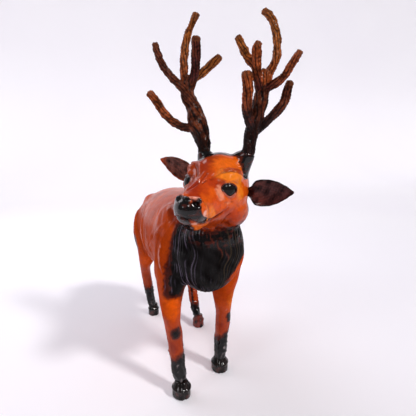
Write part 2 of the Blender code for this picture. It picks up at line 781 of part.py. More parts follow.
def main():
    clear_scene()
    figurine = new_collection("reindeer_figurine")
    cutters = new_collection("cutters")
    tan = material("tan leather", (0.62, 0.16, 0.03), 0.3)
    bark = material("wound leather", (0.10, 0.035, 0.02), 0.45)
    dark = material("ear leather", (0.05, 0.015, 0.012), 0.4)
    glass = material("eye glass", (0.01, 0.01, 0.01), 0.08)
    black = material("hoof leather", (0.015, 0.012, 0.012), 0.35)

    body = build_body(figurine, tan)
    pieces = [body]
    add_cutter(body, ground_cutter(cutters))
    for name, (foot, top) in PEDICLES.items():
        pieces.append(build_antler(name, figurine, bark))
        radius = ANTLER_ROOT_DIAMETER / 2 + FIT_GAP
        add_cutter(body, seat_cutter("seat_" + name, foot, top, radius, radius, cutters))
    for name, (root, tip, _) in EARS.items():
        pieces.append(build_ear(name, figurine, dark))
        radius = EAR_STALK_DIAMETER / 2 + FIT_GAP
        inside = [2 * r - t for r, t in zip(root, tip)]
        mouth = radius + EAR_WIDTH * EAR_SEAT_FLARE
        add_cutter(body, seat_cutter("seat_" + name, inside, root, radius, mouth, cutters))
    for name, side in (("eye_right", 1), ("eye_left", -1)):
        eye = build_eye(name, side, figurine, glass)
        pieces.append(eye)
        bm = bmesh.new()
        bmesh.ops.create_uvsphere(bm, u_segments=14, v_segments=8, radius=EYE_DIAMETER / 2 + FIT_GAP)
        socket = add_object("socket_" + name, mesh_from(bm, "socket_" + name), cutters)
        socket.location = eye.location
        add_cutter(body, socket)
    for name, foot in FEET.items():
        width = FRONT_HOOF_WIDTH if name.startswith("front") else HIND_HOOF_WIDTH
        pieces.append(build_hoof("hoof_" + name, foot, width, figurine, black))
    stand_on_origin(pieces, cutters.objects)


main()
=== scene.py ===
import math

import bmesh
import bpy
import numpy as np
from mathutils import Matrix, Vector


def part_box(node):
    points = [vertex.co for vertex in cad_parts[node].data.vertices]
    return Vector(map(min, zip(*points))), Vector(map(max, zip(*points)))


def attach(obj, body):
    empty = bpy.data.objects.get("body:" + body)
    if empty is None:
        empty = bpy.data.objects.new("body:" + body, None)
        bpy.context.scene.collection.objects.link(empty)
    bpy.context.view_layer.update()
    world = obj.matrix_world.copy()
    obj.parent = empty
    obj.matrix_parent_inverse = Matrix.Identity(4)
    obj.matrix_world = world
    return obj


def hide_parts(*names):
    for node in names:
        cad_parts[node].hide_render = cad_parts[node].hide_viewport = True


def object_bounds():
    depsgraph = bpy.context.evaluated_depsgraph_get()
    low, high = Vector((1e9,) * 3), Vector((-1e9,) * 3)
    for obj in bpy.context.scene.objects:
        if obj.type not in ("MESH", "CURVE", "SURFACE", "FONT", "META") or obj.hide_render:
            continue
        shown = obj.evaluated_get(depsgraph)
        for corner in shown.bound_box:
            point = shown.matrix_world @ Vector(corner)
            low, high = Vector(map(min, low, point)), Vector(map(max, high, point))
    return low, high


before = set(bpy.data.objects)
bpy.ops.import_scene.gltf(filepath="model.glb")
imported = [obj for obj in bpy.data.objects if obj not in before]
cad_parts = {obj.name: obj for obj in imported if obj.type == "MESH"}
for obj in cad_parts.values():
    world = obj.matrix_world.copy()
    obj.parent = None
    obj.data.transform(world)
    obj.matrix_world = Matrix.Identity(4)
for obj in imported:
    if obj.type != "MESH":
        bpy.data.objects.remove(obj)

SOLID_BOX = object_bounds()

# Leather-covered stag figurine. The free form is drawn in millimetres: the stag faces -Y, its left is +X,
# and each hoof stands at z = 0.
EYE_RADIUS = 9.5
LID_RISE = 0.9
LID_RIM = 0.75
EAR_LENGTH = 47.0
EAR_WIDTH = 25.0
EAR_THICKNESS = 1.3
EAR_STALK_RADIUS = 3.7
ANTLER_ROOT_RADIUS = 6.25
BEAM_RADIUS = 7.25
TINE_RADIUS = 3.9
PEDICLE_WALL = 1.4
HOOF_HEIGHT = 17.5
HOOF_BAND_HEIGHT = 9.5
LEG_IN_HOOF = 2.0
FRONT_HOOF_WIDTH = 20.5
HIND_HOOF_WIDTH = 17.0

# Grain of the skins, rounds of smoothing, where the long smoothing leaves out the head and the lower legs,
# and where the faces are split: a box in the head's axes (right, forward, up), and a share of the mane
BODY_GRAIN = 1.8
ANTLER_GRAIN = 0.75
FIRST_SMOOTHING = 4
LAST_SMOOTHING = 2
ANTLER_SMOOTHING = 3
TORSO_SMOOTHING = 32
HEAD_REACH = 55.0
HEAD_FADE = 25.0
LOWER_LEG_TOP = 100.0
LEG_FADE = 30.0
FINE_HEAD = ((-34, -16, -50), (34, 100, 42))
FINE_MANE = 0.4

# The thinnest that a loft gets, in millimetres, and the steps of its rounded ends, as shares of their height
THINNEST = 0.3
DOME_STEPS = (0.3, 0.6, 0.85, 0.98)

# The head's place and pose: turned to the stag's right, nose up a little, left side lower
HEAD_CENTRE = (5.6, -102.8, 232.2)
HEAD_TURN = 42.5
HEAD_LIFT = 2.6
HEAD_TILT = 8.8

# Where each hoof stands: name, centre of the sole (x, y), turned out by degrees
FEET = {
    "front_right": (-32.3, -91.0, 6.0),
    "front_left": (24.6, -63.0, -10.0),
    "hind_right": (-24.5, 107.8, 4.0),
    "hind_left": (33.0, 46.3, -8.0),
}

# Torso, from the tail to the brisket: y, back, belly, half width
TORSO = [
    (118, 185, 150, 12),
    (110, 195, 136, 26),
    (96, 204, 122, 39),
    (75, 212, 115, 47),
    (42, 217, 109, 52),
    (5, 219, 106, 54),
    (-30, 221, 106, 52),
    (-60, 220, 110, 47),
    (-85, 205, 118, 40),
    (-102, 185, 128, 30),
    (-112, 168, 140, 14),
]

# Neck and mane, from below upwards: x, y, z, half width, half depth
NECK = [
    (2, -45, 165, 44, 50),
    (4, -62, 186, 41, 40),
    (7, -76, 206, 36, 33),
    (8, -86, 226, 31, 28),
    (6, -90, 244, 24, 22),
]
MANE = [
    (-1, -80, 124, 12, 13),
    (-1, -84, 131, 26, 22),
    (0, -89, 144, 35, 26),
    (1, -94, 160, 38, 26),
    (3, -98, 180, 33, 22),
    (5, -98, 198, 24, 16),
]

# Legs, from the ground upwards: x, y, z, half width, half depth
LEGS = {
    "front_right": [
        (-32.3, -91, 0, 6.3, 6.6),
        (-32.3, -89, 17, 6.6, 7.0),
        (-33.9, -87, 27, 8.0, 8.4),
        (-35.2, -83.5, 48, 8.1, 8.6),
        (-36.7, -81, 69, 9.3, 9.8),
        (-38.2, -79, 80, 9.2, 9.6),
        (-38.8, -75, 103, 12.2, 14.5),
        (-36, -68, 128, 17, 24),
        (-33, -58, 155, 20, 30),
        (-28, -50, 180, 20, 30),
    ],
    "front_left": [
        (24.6, -63, 0, 6.3, 6.6),
        (24.6, -63.4, 17, 6.8, 7.2),
        (25.2, -63.6, 27, 7.9, 8.3),
        (26.0, -64, 45, 8.0, 8.5),
        (27.8, -65, 66, 9.2, 9.8),
        (28.0, -65, 78, 9.3, 9.8),
        (27.4, -65, 103, 13, 15),
        (29, -64, 128, 18, 24),
        (29, -58, 152, 20, 28),
        (26, -50, 178, 18, 28),
    ],
    "hind_right": [
        (-24.5, 108, 0, 5.8, 6.6),
        (-27, 107, 17, 6.0, 6.8),
        (-29.5, 106, 30, 6.8, 7.6),
        (-31.6, 107, 48, 7.3, 8.4),
        (-34.5, 111, 70, 7.8, 10.4),
        (-36.5, 105, 88, 8.5, 12),
        (-35, 94, 110, 14, 20),
        (-32, 86, 135, 20, 30),
        (-28, 84, 160, 22, 34),
    ],
    "hind_left": [
        (33, 46, 0, 5.8, 6.6),
        (32, 53, 17, 6.0, 6.8),
        (31.5, 60, 30, 7.0, 7.6),
        (31.5, 69, 48, 7.3, 8.5),
        (32, 79, 70, 8.0, 10.4),
        (33, 78, 90, 9, 13),
        (34, 76, 112, 15, 21),
        (32, 78, 135, 21, 30),
        (28, 82, 160, 22, 34),
    ],
}

# Muscles on the torso: centre, half axes
MUSCLES = [
    ((-32, -55, 166), (20, 27, 44)),
    ((31, -56, 144), (23, 27, 35)),
    ((-32, 84, 148), (24, 34, 42)),
    ((32, 82, 148), (24, 34, 42)),
    ((-24, 89, 190), (15, 19, 14)),
    ((24, 89, 190), (15, 19, 14)),
    ((-17, 96, 148), (19, 23, 38)),
    ((17, 96, 148), (19, 23, 38)),
]

# Tail, hanging close to the rump: x, y, z, half width, half depth
TAIL = [
    (0, 104, 192, 8, 6),
    (0, 116, 188, 8, 6),
    (0, 122, 176, 7.5, 5.5),
    (0, 123, 160, 6, 4.5),
    (0, 121, 144, 3.5, 3),
]

# Head, along its own forward axis: forward, crown, jaw, half width
SKULL = [
    (-34, 14, -14, 14),
    (-27, 25, -26, 23),
    (-14, 33, -37, 29),
    (2, 34, -41, 30),
    (14, 28, -41, 27.5),
    (25, 19, -40, 23),
    (37, 11, -38, 18),
    (48, 4, -36, 15.5),
    (58, -1, -33, 15),
    (66, -3, -30, 14),
    (71, -8, -24, 9),
]

# Masses on the head, in its own axes: centre (right, forward, up), half axes
HEAD_MASSES = [
    ((0, 50, -30), (10.5, 11, 8)),
    ((0, 61, -15), (15.5, 10, 12)),
    ((-19, 15, 14), (9, 14, 8)),
    ((19, 15, 14), (9, 14, 8)),
    ((-18, 25, 9.5), (6, 11, 3.5)),
    ((18, 25, 9.5), (6, 11, 3.5)),
    ((-18, 25, -6.5), (6, 11, 3.5)),
    ((18, 25, -6.5), (6, 11, 3.5)),
    ((-21, -6, -22), (12, 22, 16)),
    ((21, -6, -22), (12, 22, 16)),
    ((-15, -6, 27), (9, 10, 11)),
]

# Eyes: centre of the ball in the head's axes, mirrored for the two sides
EYE_PLACE = (16.6, 23.4, 1.4)

# Ears in the head's axes: root, tip and the direction that the leaf opens to
EARS = {
    "ear_right": ((26, -6, 7), (75, -5, 16), (0.1, 0.85, -0.5)),
    "ear_left": ((-27.3, -5.4, -0.8), (-74.3, -18.4, 7.2), (-0.25, 0.95, -0.15)),
}

# The ear's leaf: where it starts and how soon it has opened, as shares of its length; its outline's powers;
# how far its stalk is rolled and its blade cupped, in degrees; the width of its tip and how deep its root is
# set in the head, in millimetres
LEAF_START = 0.04
LEAF_OPENS = 0.19
LEAF_FULLNESS = 0.65
LEAF_BLUNTNESS = 2.3
STALK_ROLL = 220.0
LEAF_CUP = 80.0
LEAF_TIP_WIDTH = 0.8
EAR_ROOT_DEPTH = 5.0
# The ear's relief, in millimetres: crinkles round its root, how far they reach, and veins on its blade
CRINKLE_DEPTH = 0.45
CRINKLE_REACH = 9.0
VEIN_DEPTH = 0.22

# Pedicles and antlers in the head's axes; each branch has a thickness as a share of the beam or the tine.
# The last branch of each antler is the leather that fills its top fork.
PEDICLE_FLARE = 1.25
PEDICLES = {
    "antler_right": ((18, -6, 14), (23, -6, 32)),
    "antler_left": ((-17, -6, 16), (-23, -6, 38)),
}
BEAMS = {
    "antler_right": [
        (23, -6, 32, 0.86),
        (24.8, -6.3, 36, 0.92),
        (29.2, -8, 45, 1.14),
        (37.6, -10.5, 58, 1.36),
        (46, -14, 73, 1.06),
        (57, -17, 86, 0.98),
        (59, -19, 98, 0.88),
    ],
    "antler_left": [
        (-23, -6, 38, 0.84),
        (-23, -6.5, 42, 0.86),
        (-22, -8, 51, 0.88),
        (-22, -11, 65, 0.94),
        (-23, -14, 81, 1.00),
        (-23, -17, 92, 0.98),
        (-23, -19, 100, 0.88),
    ],
}
TINES = {
    "antler_right": [
        [
            (38, -10, 55, 1.15), (47, -6, 52.5, 1.1), (59, -1, 55.5, 1.05), (71, 3, 63.5, 1.05),
            (81, 5, 74, 1.05), (89, 6, 81, 0.95),
        ],
        [
            (38, -9, 66, 0.8), (50, -10, 82, 0.95), (63, -12, 93, 1.05), (75, -12, 101, 1.05),
            (88, -10, 113, 1.0), (95, -8, 125, 0.92), (98, -6, 133, 0.85),
        ],
        [
            (58, -18, 90, 1.05), (65, -20, 102, 1.08), (70, -23, 119, 1.12), (73, -26, 134, 1.08),
            (73, -28, 150, 0.98), (70, -29, 162, 0.88), (67, -29, 170.6, 1.05),
        ],
        [
            (57, -20, 93, 1.05), (53, -17, 106, 1.1), (51, -13, 117, 1.15), (51, -9, 130, 1.15),
            (51, -6, 140.5, 1.08),
        ],
        [
            (59, -20, 96, 0.95), (54, -23, 106, 1.0), (48, -27, 113, 1.05), (41, -31, 123, 1.12),
            (35, -34, 131, 1.0),
        ],
        [
            (57, -18, 88, 1.0), (59, -18.5, 98, 1.15), (60, -19, 106, 1.0),
        ],
    ],
    "antler_left": [
        [
            (-23, -9, 56, 1.0), (-20, -4, 65, 1.15), (-16, 1, 78, 1.2), (-15, 5, 95, 1.22),
            (-12, 7, 108, 1.22),
        ],
        [
            (-22, -11, 57, 1.0), (-25, -14, 60, 1.1), (-33, -18, 71, 1.12), (-41, -21, 83, 1.12),
            (-45, -23, 94, 1.1), (-46, -24, 109.5, 1.0),
        ],
        [
            (-23, -18, 95, 1.0), (-24, -18, 99, 1.0), (-34, -15, 105, 1.0), (-43, -11, 113, 1.0),
            (-49, -7, 123, 0.92), (-54, -4, 132, 0.8),
        ],
        [
            (-23, -19, 97, 1.0), (-25, -21, 106, 1.05), (-25, -23, 117, 1.05), (-28, -26, 129, 1.0),
            (-26, -29, 145, 1.0), (-21, -31, 159, 0.98), (-14, -32, 170, 0.92), (-6, -32, 176, 0.9),
        ],
        [
            (-23, -17, 94, 1.0), (-20, -15, 99, 1.05), (-16, -12, 112, 1.1), (-14, -9, 125, 1.12),
            (-12.5, -8, 134, 1.1), (-13.5, -8, 139, 0.95),
        ],
        [
            (-16, -15, 110, 0.9), (-10, -17, 121, 1.0), (-1, -20, 129, 1.08), (7, -23, 139, 1.02),
            (14, -25, 148.5, 0.85),
        ],
        [
            (-22, -17, 96, 1.0), (-21, -17, 108, 1.3), (-21.5, -18.5, 117, 1.05),
        ],
    ],
}

# Folds and creases in the leather. On the flanks a path is (y, z) and is laid on the skin of each side.
# Height above zero raises, below zero cuts. Path, reach, height.
FLANK_FOLDS = [
    ([(64, 196), (40, 190), (22, 168), (20, 146), (10, 127), (-12, 114)], 4.2, 1.6),
    ([(56, 190), (34, 184), (15, 164), (13, 144), (4, 125)], 6.0, -1.1),
    ([(-66, 206), (-73, 194), (-62, 181), (-41, 165), (-15, 146), (6, 130), (14, 118)], 4.2, 1.7),
    ([(-58, 202), (-64, 190), (-52, 176), (-32, 160), (-8, 141)], 6.0, -1.1),
    ([(-80, 197), (-78, 185), (-74, 173), (-73, 161), (-77, 148), (-84, 138)], 3.6, 1.6),
    ([(-71, 193), (-69, 182), (-66, 172), (-65, 161), (-69, 150)], 4.5, -1.0),
    ([(56, 182), (44, 164), (42, 140)], 8.0, -1.2),
    ([(-30, 200), (-44, 184), (-30, 164), (-10, 148)], 3.4, 0.8),
    ([(88, 184), (70, 160), (62, 136), (66, 118)], 6.0, -1.6),
    ([(94, 178), (78, 158), (70, 136), (74, 120)], 4.6, 1.1),
    ([(-66, 150), (-58, 132), (-54, 118)], 5.0, 0.9),
]
# Face folds of the left side, in the head's axes (right, forward, up); the right side mirrors them
FACE_FOLDS = [
    (
        [
            (-7, 40, 10), (-9, 34, 13), (-13, 29, 17), (-18, 25, 19), (-24, 23, 20), (-27, 15, 18),
            (-26, -1, 14),
        ],
        2.4, -1.5,
    ),
    ([(-6, 42, 12), (-8, 35, 16), (-12, 29, 20), (-17, 25, 22), (-23, 22, 23), (-27, 14, 21)], 4.5, 1.2),
    ([(-13, 41, 3), (-16, 39, -3), (-20, 34, -6), (-23, 25, -7), (-25, 20, -5)], 1.7, -0.8),
    ([(-12, 40, 5), (-14, 36, 7.4), (-20, 34, 9.5), (-24, 26, 9.6), (-26, 18, 7.6)], 1.6, -0.8),
    ([(-11, 44, 1), (-14, 43, -4), (-19, 37, -9), (-23, 28, -10.5), (-25.5, 21, -9)], 1.8, -0.6),
    ([(-13, 46, -26), (-14.5, 39, -23.5), (-17, 33, -21), (-19, 28, -17.5), (-21, 24, -15)], 2.4, -1.8),
    ([(-12, 48.7, -28.2), (-13, 42, -27.3), (-16, 35, -23), (-19, 30, -20)], 2.0, -1.3),
    ([(-14, 43, -21), (-17, 36, -18), (-20, 29, -14)], 4.0, 1.0),
    (
        [
            (-11.7, 60.4, -7.7), (-13.6, 56.3, -10.7), (-15.2, 52.4, -15.3), (-15.9, 51.5, -19.1),
            (-13, 46, -24.5),
        ],
        3.2, -0.9,
    ),
    ([(-10.5, 63.5, -9), (-12.5, 60.5, -12), (-14, 57.5, -16), (-14, 55, -21)], 3.4, 1.3),
    ([(0, 68.5, -7), (-3, 67.5, -6.2), (-6.2, 65, -5.5), (-8.7, 63.2, -6)], 2.8, 1.1),
    ([(-10.2, 12.7, -38.6), (-14, 13, -33), (-19, 19, -26), (-22.6, 15.7, -21.4)], 2.4, -1.3),
    ([(-4.5, 57, -29), (-9, 55, -28.5), (-11.5, 49, -28.5)], 3.0, 0.9),
    ([(-20, 32, -24), (-23, 22, -27), (-26, 8, -27)], 3.0, -0.7),
]
# Creases of one side only
LONE_FACE_FOLDS = [
    ([(-1.2, 37, 14), (-0.6, 43.6, 9.3), (1.1, 49.3, 5), (4.6, 54.6, 0.4), (7.2, 56.7, -2.6)], 1.8, -1.1),
    ([(1.4, 37, 14), (1.8, 43.6, 9.3), (3.6, 49.3, 5), (7, 54.6, 0)], 2.2, 0.9),
    ([(-4, 44.4, 8.1), (-2.5, 48.4, 5.7)], 1.4, -1.4),
    ([(-23.8, 23.5, -8.7), (-25, 19, -10), (-27.2, 11.2, -12.1)], 1.2, -0.7),
    ([(-19.5, 10.2, 23.4), (-20, 4.2, 25), (-21.3, 4.7, 22.9), (-21.2, 11.9, 21.6)], 1.2, -0.6),
    ([(18.6, 34.5, 10.7), (15.6, 34.7, 9.3), (10.2, 39.8, 7.2), (7.7, 46, 4.8)], 1.8, -0.9),
    ([(-18, 36, -12), (-19, 33, -15), (-19.5, 30, -17)], 1.0, -0.5),
    ([(-25, 14, -14), (-26, 10, -17), (-26.5, 4, -18)], 1.2, -0.5),
]
# Nostrils, left side: centre in the head's axes, reach, height; the first is the hole, the second its wing
NOSTRILS = [((-8.2, 66, -9.2), 4.4, -4.6), ((-11.8, 64.5, -8), 2.6, 1.0)]
# The crease between the lips, in the head's axes
LIP_REACH = 2.4
LIP_DEPTH = 2.4
LIPS = [
    (-12.5, 50, -27.5), (-10.3, 58.6, -27), (-8, 66, -24.2), (-3, 71, -22.9),
    (3, 71, -22.9), (8, 66, -24.2), (10.3, 58.6, -27), (12.5, 50, -27.5),
]
# Creases and caps at the knees: path, reach, height
LEG_FOLDS = [
    ([(-48, -84, 106), (-42, -90, 110), (-33, -89, 111), (-28, -82, 108)], 2.4, -0.9),
    ([(-46, -82, 66), (-38, -91, 65), (-29, -86, 67)], 2.2, -1.0),
    ([(-46, -80, 92), (-38, -90, 93), (-28, -84, 90)], 2.0, -0.5),
    ([(-38.2, -91, 79)], 9.0, 1.5),
    ([(-37.2, -91, 70)], 6.0, 0.8),
    ([(19, -67, 64), (26, -76, 62), (36, -68, 65)], 2.2, -1.0),
    ([(19, -70, 92), (28, -79, 95), (38, -70, 93)], 2.2, -0.8),
    ([(28.5, -76, 79)], 9.0, 1.4),
    ([(31, -75, 70)], 6.0, 0.7),
    ([(-42, 104, 92), (-36, 93, 90), (-28, 102, 92)], 2.2, -0.7),
    ([(26, 72, 92), (33, 65, 90), (41, 76, 92)], 2.2, -0.7),
]

# Mane: how many combed locks and strands go round its upright axis and how deep they are, and where their
# relief fades out
LOCKS = 17
LOCK_DEPTH = 0.30
STRANDS = 97
STRAND_DEPTH = 0.22
MANE_AXIS_Y = -72.0
MANE_BACK_Y = -78.0
MANE_FOOT_Z = 112.0
MANE_TOP_Z = 200.0
MANE_FADE = 8.0
# Heights between which the wrinkles of the lower legs fade
WRINKLED_LEG = (48, 62)

# Hoof cap: heights as shares of the band, and past 1 as shares of the collar above it; widths as shares of
# the hoof's. Then the leg's end, in millimetres, and the toe and the cleft as shares of the cap's radius
HOOF_PROFILE = [
    (0.0, 0.90), (0.05, 0.95), (0.13, 0.985), (0.5, 0.985), (0.96, 0.97), (1.02, 1.03), (1.1, 1.05),
    (1.2, 1.02), (1.3, 0.95), (1.6, 0.80),
]
LEG_END_RADIUS = 6.5
TOE_LENGTH = 0.16
CLEFT_DEPTH = 0.10
CLEFT_REACH = 0.09

# Eyes: how far the lids wrap past the ball, how deep the opening is cut into it and how far the rim stands
# off it, in millimetres; the rim's width against its height; the direction that each looks in, in the
# head's axes; and the opening between the lids as (along the face, up) points on the ball, in millimetres,
# for the left eye
LID_REACH = 6.5
EYE_CUT = 1.5
RIM_LIFT = 0.45
RIM_WIDTH = 1.2
EYE_LOOK = (-0.80, 0.58, 0.13)
LID_OPENING = [
    (-8.4, 0.9), (-4.4, 3.9), (1.0, 5.6), (6.2, 4.6), (8.3, 0.6), (6.2, -3.2), (1.8, -6.0),
    (-1.8, -5.4), (-5.2, -2.2),
]

# Dye: black-brown leather. In the head's axes, the front edge of the dark crown as (right, forward), the
# height below which a slanted edge at its side takes over, and the edge under the jaw. Then the mane's back
# edge and the height of the dye on each leg
CROWN_EDGE = [
    (-34, 4), (-27, 5), (-25.7, 5), (-20.7, 4), (-10.7, -0.2), (-1.6, 11.5), (3.9, 16.8), (9.3, 19.6),
    (16, 20), (22, 14), (27, 2), (34, -8),
]
CROWN_LOW = 12.0
CROWN_SIDE = -9.0
CROWN_SLOPE = 0.09
JAW_EDGE_UP = -46.0
JAW_EDGE_SLOPE = 0.39
MANE_EDGE_Y = -86.5
LEG_DYE = {"front_right": 46.0, "front_left": 47.0, "hind_right": 48.0, "hind_left": 31.0}
# Dye on the muzzle, in the head's axes: its top edge as (right, up), the mouth as (forward, up), and how its
# back edge runs from the side of the nose down to the corner of the mouth as (up, forward)
PAD_TOP = [
    (-18, -34), (-15.5, -24), (-14, -18.9), (-12.3, -13), (-9.5, -6.0), (-5.5, -7.0), (-1.6, -6.9), (4, -6.5),
    (9.5, -6.0), (13, -9), (18, -16),
]
MOUTH_LINE = [(40, -27.5), (50, -27.5), (58.6, -27), (66, -24.2), (71, -22.9), (76, -22)]
PAD_BACK = [(-40, 40), (-27.4, 48.3), (-18.9, 60.0), (0, 61)]
SEPTUM = [(-4.2, 69, -8.0), (-4.0, 70.5, -12), (-4.6, 71.5, -16)]
# Where the skin's tones change, each as the two places between which it fades, in millimetres: from the
# head's centre, in the head's axes, and then on the body
HEAD_SKIN = (66, 58)
MUZZLE_FORWARD = (25, 35)
MUZZLE_UP = (-49, -44)
BRIGHT_FACE = (-30, -8)
DEEP_JAW = (-16, -34)
# FAR_FACE and FAR_FACE_FORWARD bound the painted shade on the far side of the face
FAR_FACE = (-6, 4)
FAR_FACE_FORWARD = (64, 44)
CHEEK_UP = (-8, -22)
CHEEK_FORWARD = (40, 20)
CHIN_RIGHT = (-6.5, -3.5)
CHIN_FORWARD = (44, 50)
CROWN_FOOT = (-24, -4)
PEDICLE_DYE = (31, 34)
# FLANK_TOP, FLANK_SIDE and FLANK_FOOT bound the painted shade on the lower right flank
FLANK_TOP = (196, 176)
FLANK_SIDE = (-30, -42)
FLANK_FOOT = (104, 122)
DULL_FLANK_TOP = (188, 172)
DULL_FLANK_FOOT = (80, 96)
RIDGE_FOOT = (104, 118)
DEEP_LEGS = (92, 62)
MANE_FOOT_FADE = (110, 118)
# INNER_RIGHT to INNER_TOP bound the painted shade between the front legs
INNER_RIGHT = (-29, -18)
INNER_LEFT = (21, 12)
INNER_FRONT = (-42, -52)
INNER_FOOT = (110, 130)
INNER_TOP = (140, 126)
# The mane's left edge: (z, x). Above its shoulder the edge wavers more.
MANE_SHOULDER_Z = 158.0
MANE_LEFT_EDGE = [(104, 20.1), (134, 12), (MANE_SHOULDER_Z, 31.2), (258, 381.2)]
# The space that holds one lower leg: half its x and y about the hoof, and its top. The dye's top edge leans.
LEG_BOX = (22, 34, 70)
LEG_DYE_LEAN = 0.6
# The mane's painted hair: how many strands and locks go round, the painted highlight down its right side, a
# red scratch
PAINTED_STRANDS = 83
PAINTED_LOCKS = 31
FRINGE_X = -31.0
FRINGE_WIDTH = 9.0
SCRATCH = [(-9, -116, 186), (-1, -119.5, 175), (9, -118.5, 162)]
SCRATCH_REACH = 5.0
SCRATCH_STRANDS = 47
# Strokes of dye on the legs: path, reach, strength
LEG_PATCHES = [
    ([(-37.4, -92, 73.5)], 10.0, 0.9),
    ([(31.5, -75, 76), (32.5, -73, 70)], 5.5, 0.95),
    ([(-27, -84, 60), (-27, -84, 48)], 5.0, 0.8),
    ([(28, 66, 60), (27, 60, 48), (27, 55, 36)], 4.0, 0.9),
    ([(-50, 78, 140), (-48, 84, 128)], 11.0, 0.7),
]
# Tones of the face, with painted highlights among them, in the head's axes: path, reach, colour, strength
FACE_TONES = [
    # Painted highlight on the brow above the eye
    ([(-14, 31, 14), (-20, 27, 15), (-25, 18, 12)], 8.0, (0.95, 0.27, 0.016), 0.65),
    ([(-24, 16, 6), (-26, 12, -2)], 6.5, (0.92, 0.26, 0.015), 0.6),
    ([(-9, 42, 6), (-11, 38, 9), (-15, 35, 8)], 5.0, (0.36, 0.020, 0.002), 0.75),
    ([(-3, 62, -4), (1, 57, -1), (5, 50, 2)], 8.0, (0.30, 0.014, 0.002), 0.8),
    ([(-6, 52, 0), (-3, 42, 8), (-2, 34, 13)], 6.0, (0.42, 0.028, 0.002), 0.6),
    ([(-11, 34, 18), (-17, 25, 21), (-24, 18, 20)], 3.6, (0.25, 0.014, 0.002), 0.7),
    ([(-13, 51, -24), (-15, 45, -20), (-16, 50, -16)], 5.0, (0.92, 0.22, 0.012), 0.7),
    ([(-7, 60, -31), (-9, 52, -33), (-11, 44, -33)], 5.5, (0.90, 0.17, 0.008), 0.7),
    ([(-12, 58, -12), (-13, 57, -17)], 4.0, (0.90, 0.25, 0.05), 0.7),
    ([(-15, 44, -8), (-17, 38, -12)], 6.0, (0.62, 0.060, 0.003), 0.6),
    ([(-22, 26, -20), (-25, 12, -22), (-24, 2, -28)], 8.0, (0.40, 0.030, 0.003), 0.6),
    ([(-8, 26, 24), (-16, 16, 28), (-20, 8, 26)], 8.0, (0.85, 0.16, 0.010), 0.6),
    ([(6, 30, 18), (12, 22, 22), (16, 10, 22)], 10.0, (0.34, 0.026, 0.003), 0.7),
    # Painted highlights: beside and below the eye, along the nose, on the rim of the pad, on the lower lip
    # and at the root of the right antler
    ([(-14.5, 36, -8), (-17.5, 31.5, -9.5), (-21, 27, -10)], 2.6, (0.95, 0.42, 0.20), 0.6),
    ([(-14.5, 38.5, 3), (-16, 37.5, -1), (-18, 35.5, -5)], 4.2, (0.95, 0.46, 0.30), 0.45),
    ([(-8.5, 63.5, -5.0), (-5, 66.5, -5.2), (-1, 68, -5.8)], 2.0, (0.95, 0.42, 0.30), 0.75),
    ([(-13.5, 62, -15), (-14.2, 60, -19), (-13.8, 58, -22)], 2.4, (0.95, 0.55, 0.45), 0.7),
    ([(-9, 62, -27.8), (-7, 66, -26.8)], 2.2, (0.92, 0.42, 0.30), 0.7),
    ([(13, 12, 27), (15, 10, 23)], 4.0, (0.80, 0.62, 0.64), 0.6),
]
# The camera of the photograph, in millimetres and degrees, and the side of its square picture in pixels
CAMERA_PLACE = (-120.4, -419.3, 268.0)
CAMERA_YAW = 20.0
CAMERA_PITCH = 9.68
FOCAL_PIXELS = 340.0
PICTURE_SIDE = 416.0
SENSOR = 36.0

# Leather colours, linear
TAN = (0.46, 0.050, 0.002)
TAN_BRIGHT = (0.78, 0.105, 0.003)
TAN_DEEP = (0.19, 0.016, 0.002)
BLACK = (0.0025, 0.0015, 0.0015)
RED_BLACK = (0.050, 0.007, 0.004)
LILAC_HIGHLIGHT = (0.26, 0.21, 0.30)
# Pale rubbed leather and painted highlight for the fold ridges
RIDGE_PALE_AND_HIGHLIGHT = (0.70, 0.36, 0.30)
OCHRE = (0.26, 0.074, 0.013)
BARK = (0.095, 0.022, 0.009)
BARK_RED = (0.24, 0.050, 0.012)
BARK_MAROON = (0.065, 0.013, 0.010)
BARK_DARK = (0.007, 0.003, 0.0025)
FLANK_SHADE_BROWN = (0.34, 0.036, 0.002)
CHEEK_BROWN = (0.13, 0.010, 0.002)
CREASE_SHADE = (0.12, 0.010, 0.002)
RUST = (0.060, 0.009, 0.005)
GLINT_HIGHLIGHT_GREY = (0.32, 0.27, 0.27)
STRAND_BROWN = (0.035, 0.022, 0.010)
SCRATCH_RED = (0.14, 0.020, 0.008)
LID_RED = (0.42, 0.10, 0.06)
LID_DARK = (0.08, 0.012, 0.006)
TIP_BROWN = (0.16, 0.05, 0.02)
EAR_COLOURS = {"ear_right": (0.100, 0.021, 0.010), "ear_left": (0.042, 0.009, 0.008)}
EAR_RED = (0.16, 0.030, 0.018)
HOOF_BLACK = (0.011, 0.007, 0.0065)
HOOF_RED = (0.07, 0.012, 0.009)
WORN_HOOF_RED = (0.22, 0.03, 0.018)
GLASS_COLOURS = ((0.002, 0.002, 0.002), (0.016, 0.011, 0.009))
FLOOR_COLOURS = ((0.90, 0.88, 0.94), (0.95, 0.94, 0.97))

# Lights, in metres and degrees. Suns: name, where each shines from, its spread, power and colour
SUNS = [
    ("key", (0.6, -0.85, 0.95), 8.0, 1.6, (1.0, 0.98, 0.97)),
    ("front", (-0.25, -1.0, 1.0), 14.0, 0.7, (1.0, 0.98, 0.98)),
    ("fill", (-1.2, -0.45, 0.75), 16.0, 0.3, (0.97, 0.96, 1.0)),
]
# The wide light over the back: name, place, what it is turned to, its sides, power and colour
TOP_LIGHT = ("top", (-0.45, 0.7, 1.1), (0, 0, 0.2), (0.9, 0.5), 5, (0.98, 0.95, 1.0))
WORLD_AS_LIGHT = 0.20
WORLD_SEEN = 0.95

